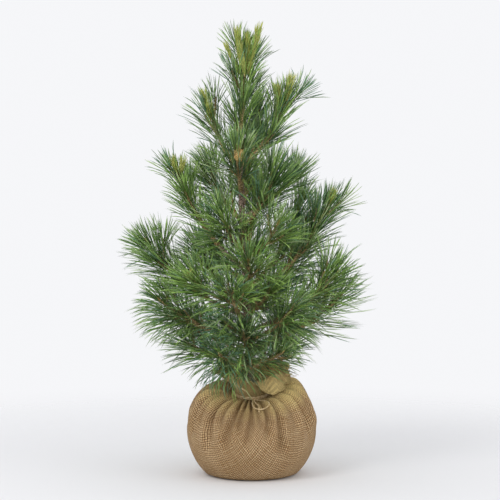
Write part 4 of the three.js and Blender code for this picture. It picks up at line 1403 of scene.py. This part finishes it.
for lean, size in ((0.3, 3.0), (-0.9, 2.8), (1.7, 2.6)):
    across, up = np.cos(wraps), np.sin(wraps) * size
    ring = [across * size, up * 0.8 * math.cos(lean), up * math.sin(lean) + across * 0.8]
    twine_parts += plies(knot + np.stack(ring, axis=1), 1.3, is_closed=True, pitch=6.0)
TWINE = mottled_material("twine", 0.85, 0.25, 260.0, "a98d5f", "e0cba2", (0.0003, 0.6))
twine = mesh_piece("jute_twine", *joined(twine_parts), TWINE)
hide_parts("twine_tie")

# %% [markdown]
# ## Soil
# The soil only shows from above, inside the gathered cloth. It is a lump that stays clear of the
# deepest creases, roughened by a cloudy displacement, and loose crumbs lie on it round the trunk.

# %% Model the soil
SOIL = mottled_material("soil", 0.95, 0.1, 160.0, "21160e", "4a3524", (0.002, 0.9))
SOIL_RINGS = [  # height and radius, in millimetres
    (8, 70), (20, 88), (45, 104), (80, 109), (100, 103), (114, 88), (126, 62), (137, 36), (146, 27.5),
    (150, 26.5), (150.6, 18), (151, 5),
]
soil = extrude_rings("soil_ball", [(0, 0, height, radius) for height, radius in SOIL_RINGS], 48, 60.0)
lumps = bpy.data.textures.new("soil_lumps", "CLOUDS")
lumps.noise_scale = 0.006
roughen(soil, lumps, 0.002, 0.6)
bpy.ops.object.shade_smooth()
soil.data.materials.append(SOIL)
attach(soil, "root")
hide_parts("root_ball_soil")
print("soil", len(soil.data.polygons), "faces")

# %% Scatter the crumbs
CRUMBS = {"count": 260, "reach": 27.0, "height": 150.6}
cube = np.array([[x, y, z] for x in (-1, 1) for y in (-1, 1) for z in (-1, 1)], float)
faces = np.array([
    [0, 1, 3], [0, 3, 2], [4, 6, 7], [4, 7, 5], [0, 4, 5], [0, 5, 1],
    [2, 3, 7], [2, 7, 6], [0, 2, 6], [0, 6, 4], [1, 5, 7], [1, 7, 3],
])
crumb_parts = []
for _ in range(CRUMBS["count"]):
    angle, radius = rng.uniform(0, 2 * math.pi), CRUMBS["reach"] * math.sqrt(rng.uniform(0.25, 1))
    lump = cube * rng.uniform(0.7, 2.0) * rng.uniform(0.7, 1.2, 3) + rng.normal(0, 0.2, (8, 3))
    place = [radius * math.cos(angle), radius * math.sin(angle), CRUMBS["height"]]
    crumb_parts.append((lump + place, faces))
crumbs = mesh_piece("soil_crumbs", *joined(crumb_parts), SOIL)

# %% [markdown]
# ## Stage, light and camera
# The plant stands on a plain pale floor in soft studio light. The floor fades out into the pale
# surroundings, so that no edge or horizon shows. The camera stands three metres away, a little
# above the middle of the plant, with a long lens.

# %% Floor and surroundings
deselect_all()
bpy.ops.mesh.primitive_circle_add(vertices=96, radius=3.0, fill_type="NGON", location=(0, 0, -0.0004))
floor = bpy.context.object
floor.name = "studio_floor"
paper, tree, shader, place = new_material(
    "studio_paper", 0.9, Base_Color=(0.80, 0.80, 0.81, 1), Specular_IOR_Level=0.1
)
far = put(tree, "VectorMath", {0: place}, operation="LENGTH").outputs["Value"]
fades = {0: far, 1: 0.5, 2: 1.5, 3: 1.0, 4: 0.0}
fade = put(tree, "MapRange", fades, interpolation_type="SMOOTHSTEP").outputs[0]
tree.links.new(fade, shader["Alpha"])
floor.data.materials.append(paper)
floor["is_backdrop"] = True

world = bpy.data.worlds.new("studio")
bpy.context.scene.world = world
world.use_nodes = True
background = world.node_tree.nodes["Background"].inputs
background["Color"].default_value = (0.92, 0.925, 0.945, 1)
background["Strength"].default_value = 1.0
print("floor", floor.name, "under a", world.name, "sky")


# %% Lights and camera
def aim_at(thing, place, target):
    bpy.context.scene.collection.objects.link(thing)
    thing.location = place
    thing.rotation_euler = (Vector(target) - Vector(place)).to_track_quat("-Z", "Y").to_euler()


def area_light(name, place, target, size, power):
    light = bpy.data.lights.new(name, "AREA")
    light.size, light.energy = size, power
    aim_at(bpy.data.objects.new(name, light), place, target)


area_light("key_softbox", (-1.5, -1.9, 2.1), (0, 0, 0.4), 1.1, 23)
area_light("fill_softbox", (2.0, -1.2, 1.3), (0, 0, 0.4), 1.4, 6)
area_light("front_softbox", (0.6, -3.2, 0.5), (0, 0, 0.3), 1.6, 10)

SENSOR, VIEW_WIDTH = 36.0, 0.98  # millimetres, and metres seen across at the plant
eye, aim = Vector((-0.003, -3.0, 0.5375)), Vector((-0.003, 0, 0.4395))
camera = bpy.data.objects.new("camera", bpy.data.cameras.new("camera"))
aim_at(camera, eye, aim)
camera.data.sensor_width = SENSOR
camera.data.lens = SENSOR * (aim - eye).length / VIEW_WIDTH
bpy.context.scene.camera = camera
bpy.context.scene.view_settings.view_transform = "Standard"
print("lens", round(camera.data.lens, 1), "mm")

# %% [markdown]
# ## Check the size and finish
# The box of the solids and the box of the dressed plant are both printed. The dressed
# plant has to fill the same box as the solids.

# %% Print the sizes
low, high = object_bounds()
print("CAD box", [round(x, 3) for x in (*cad_low, *cad_high)])
print("visual ", [round(x, 3) for x in (*low, *high)])
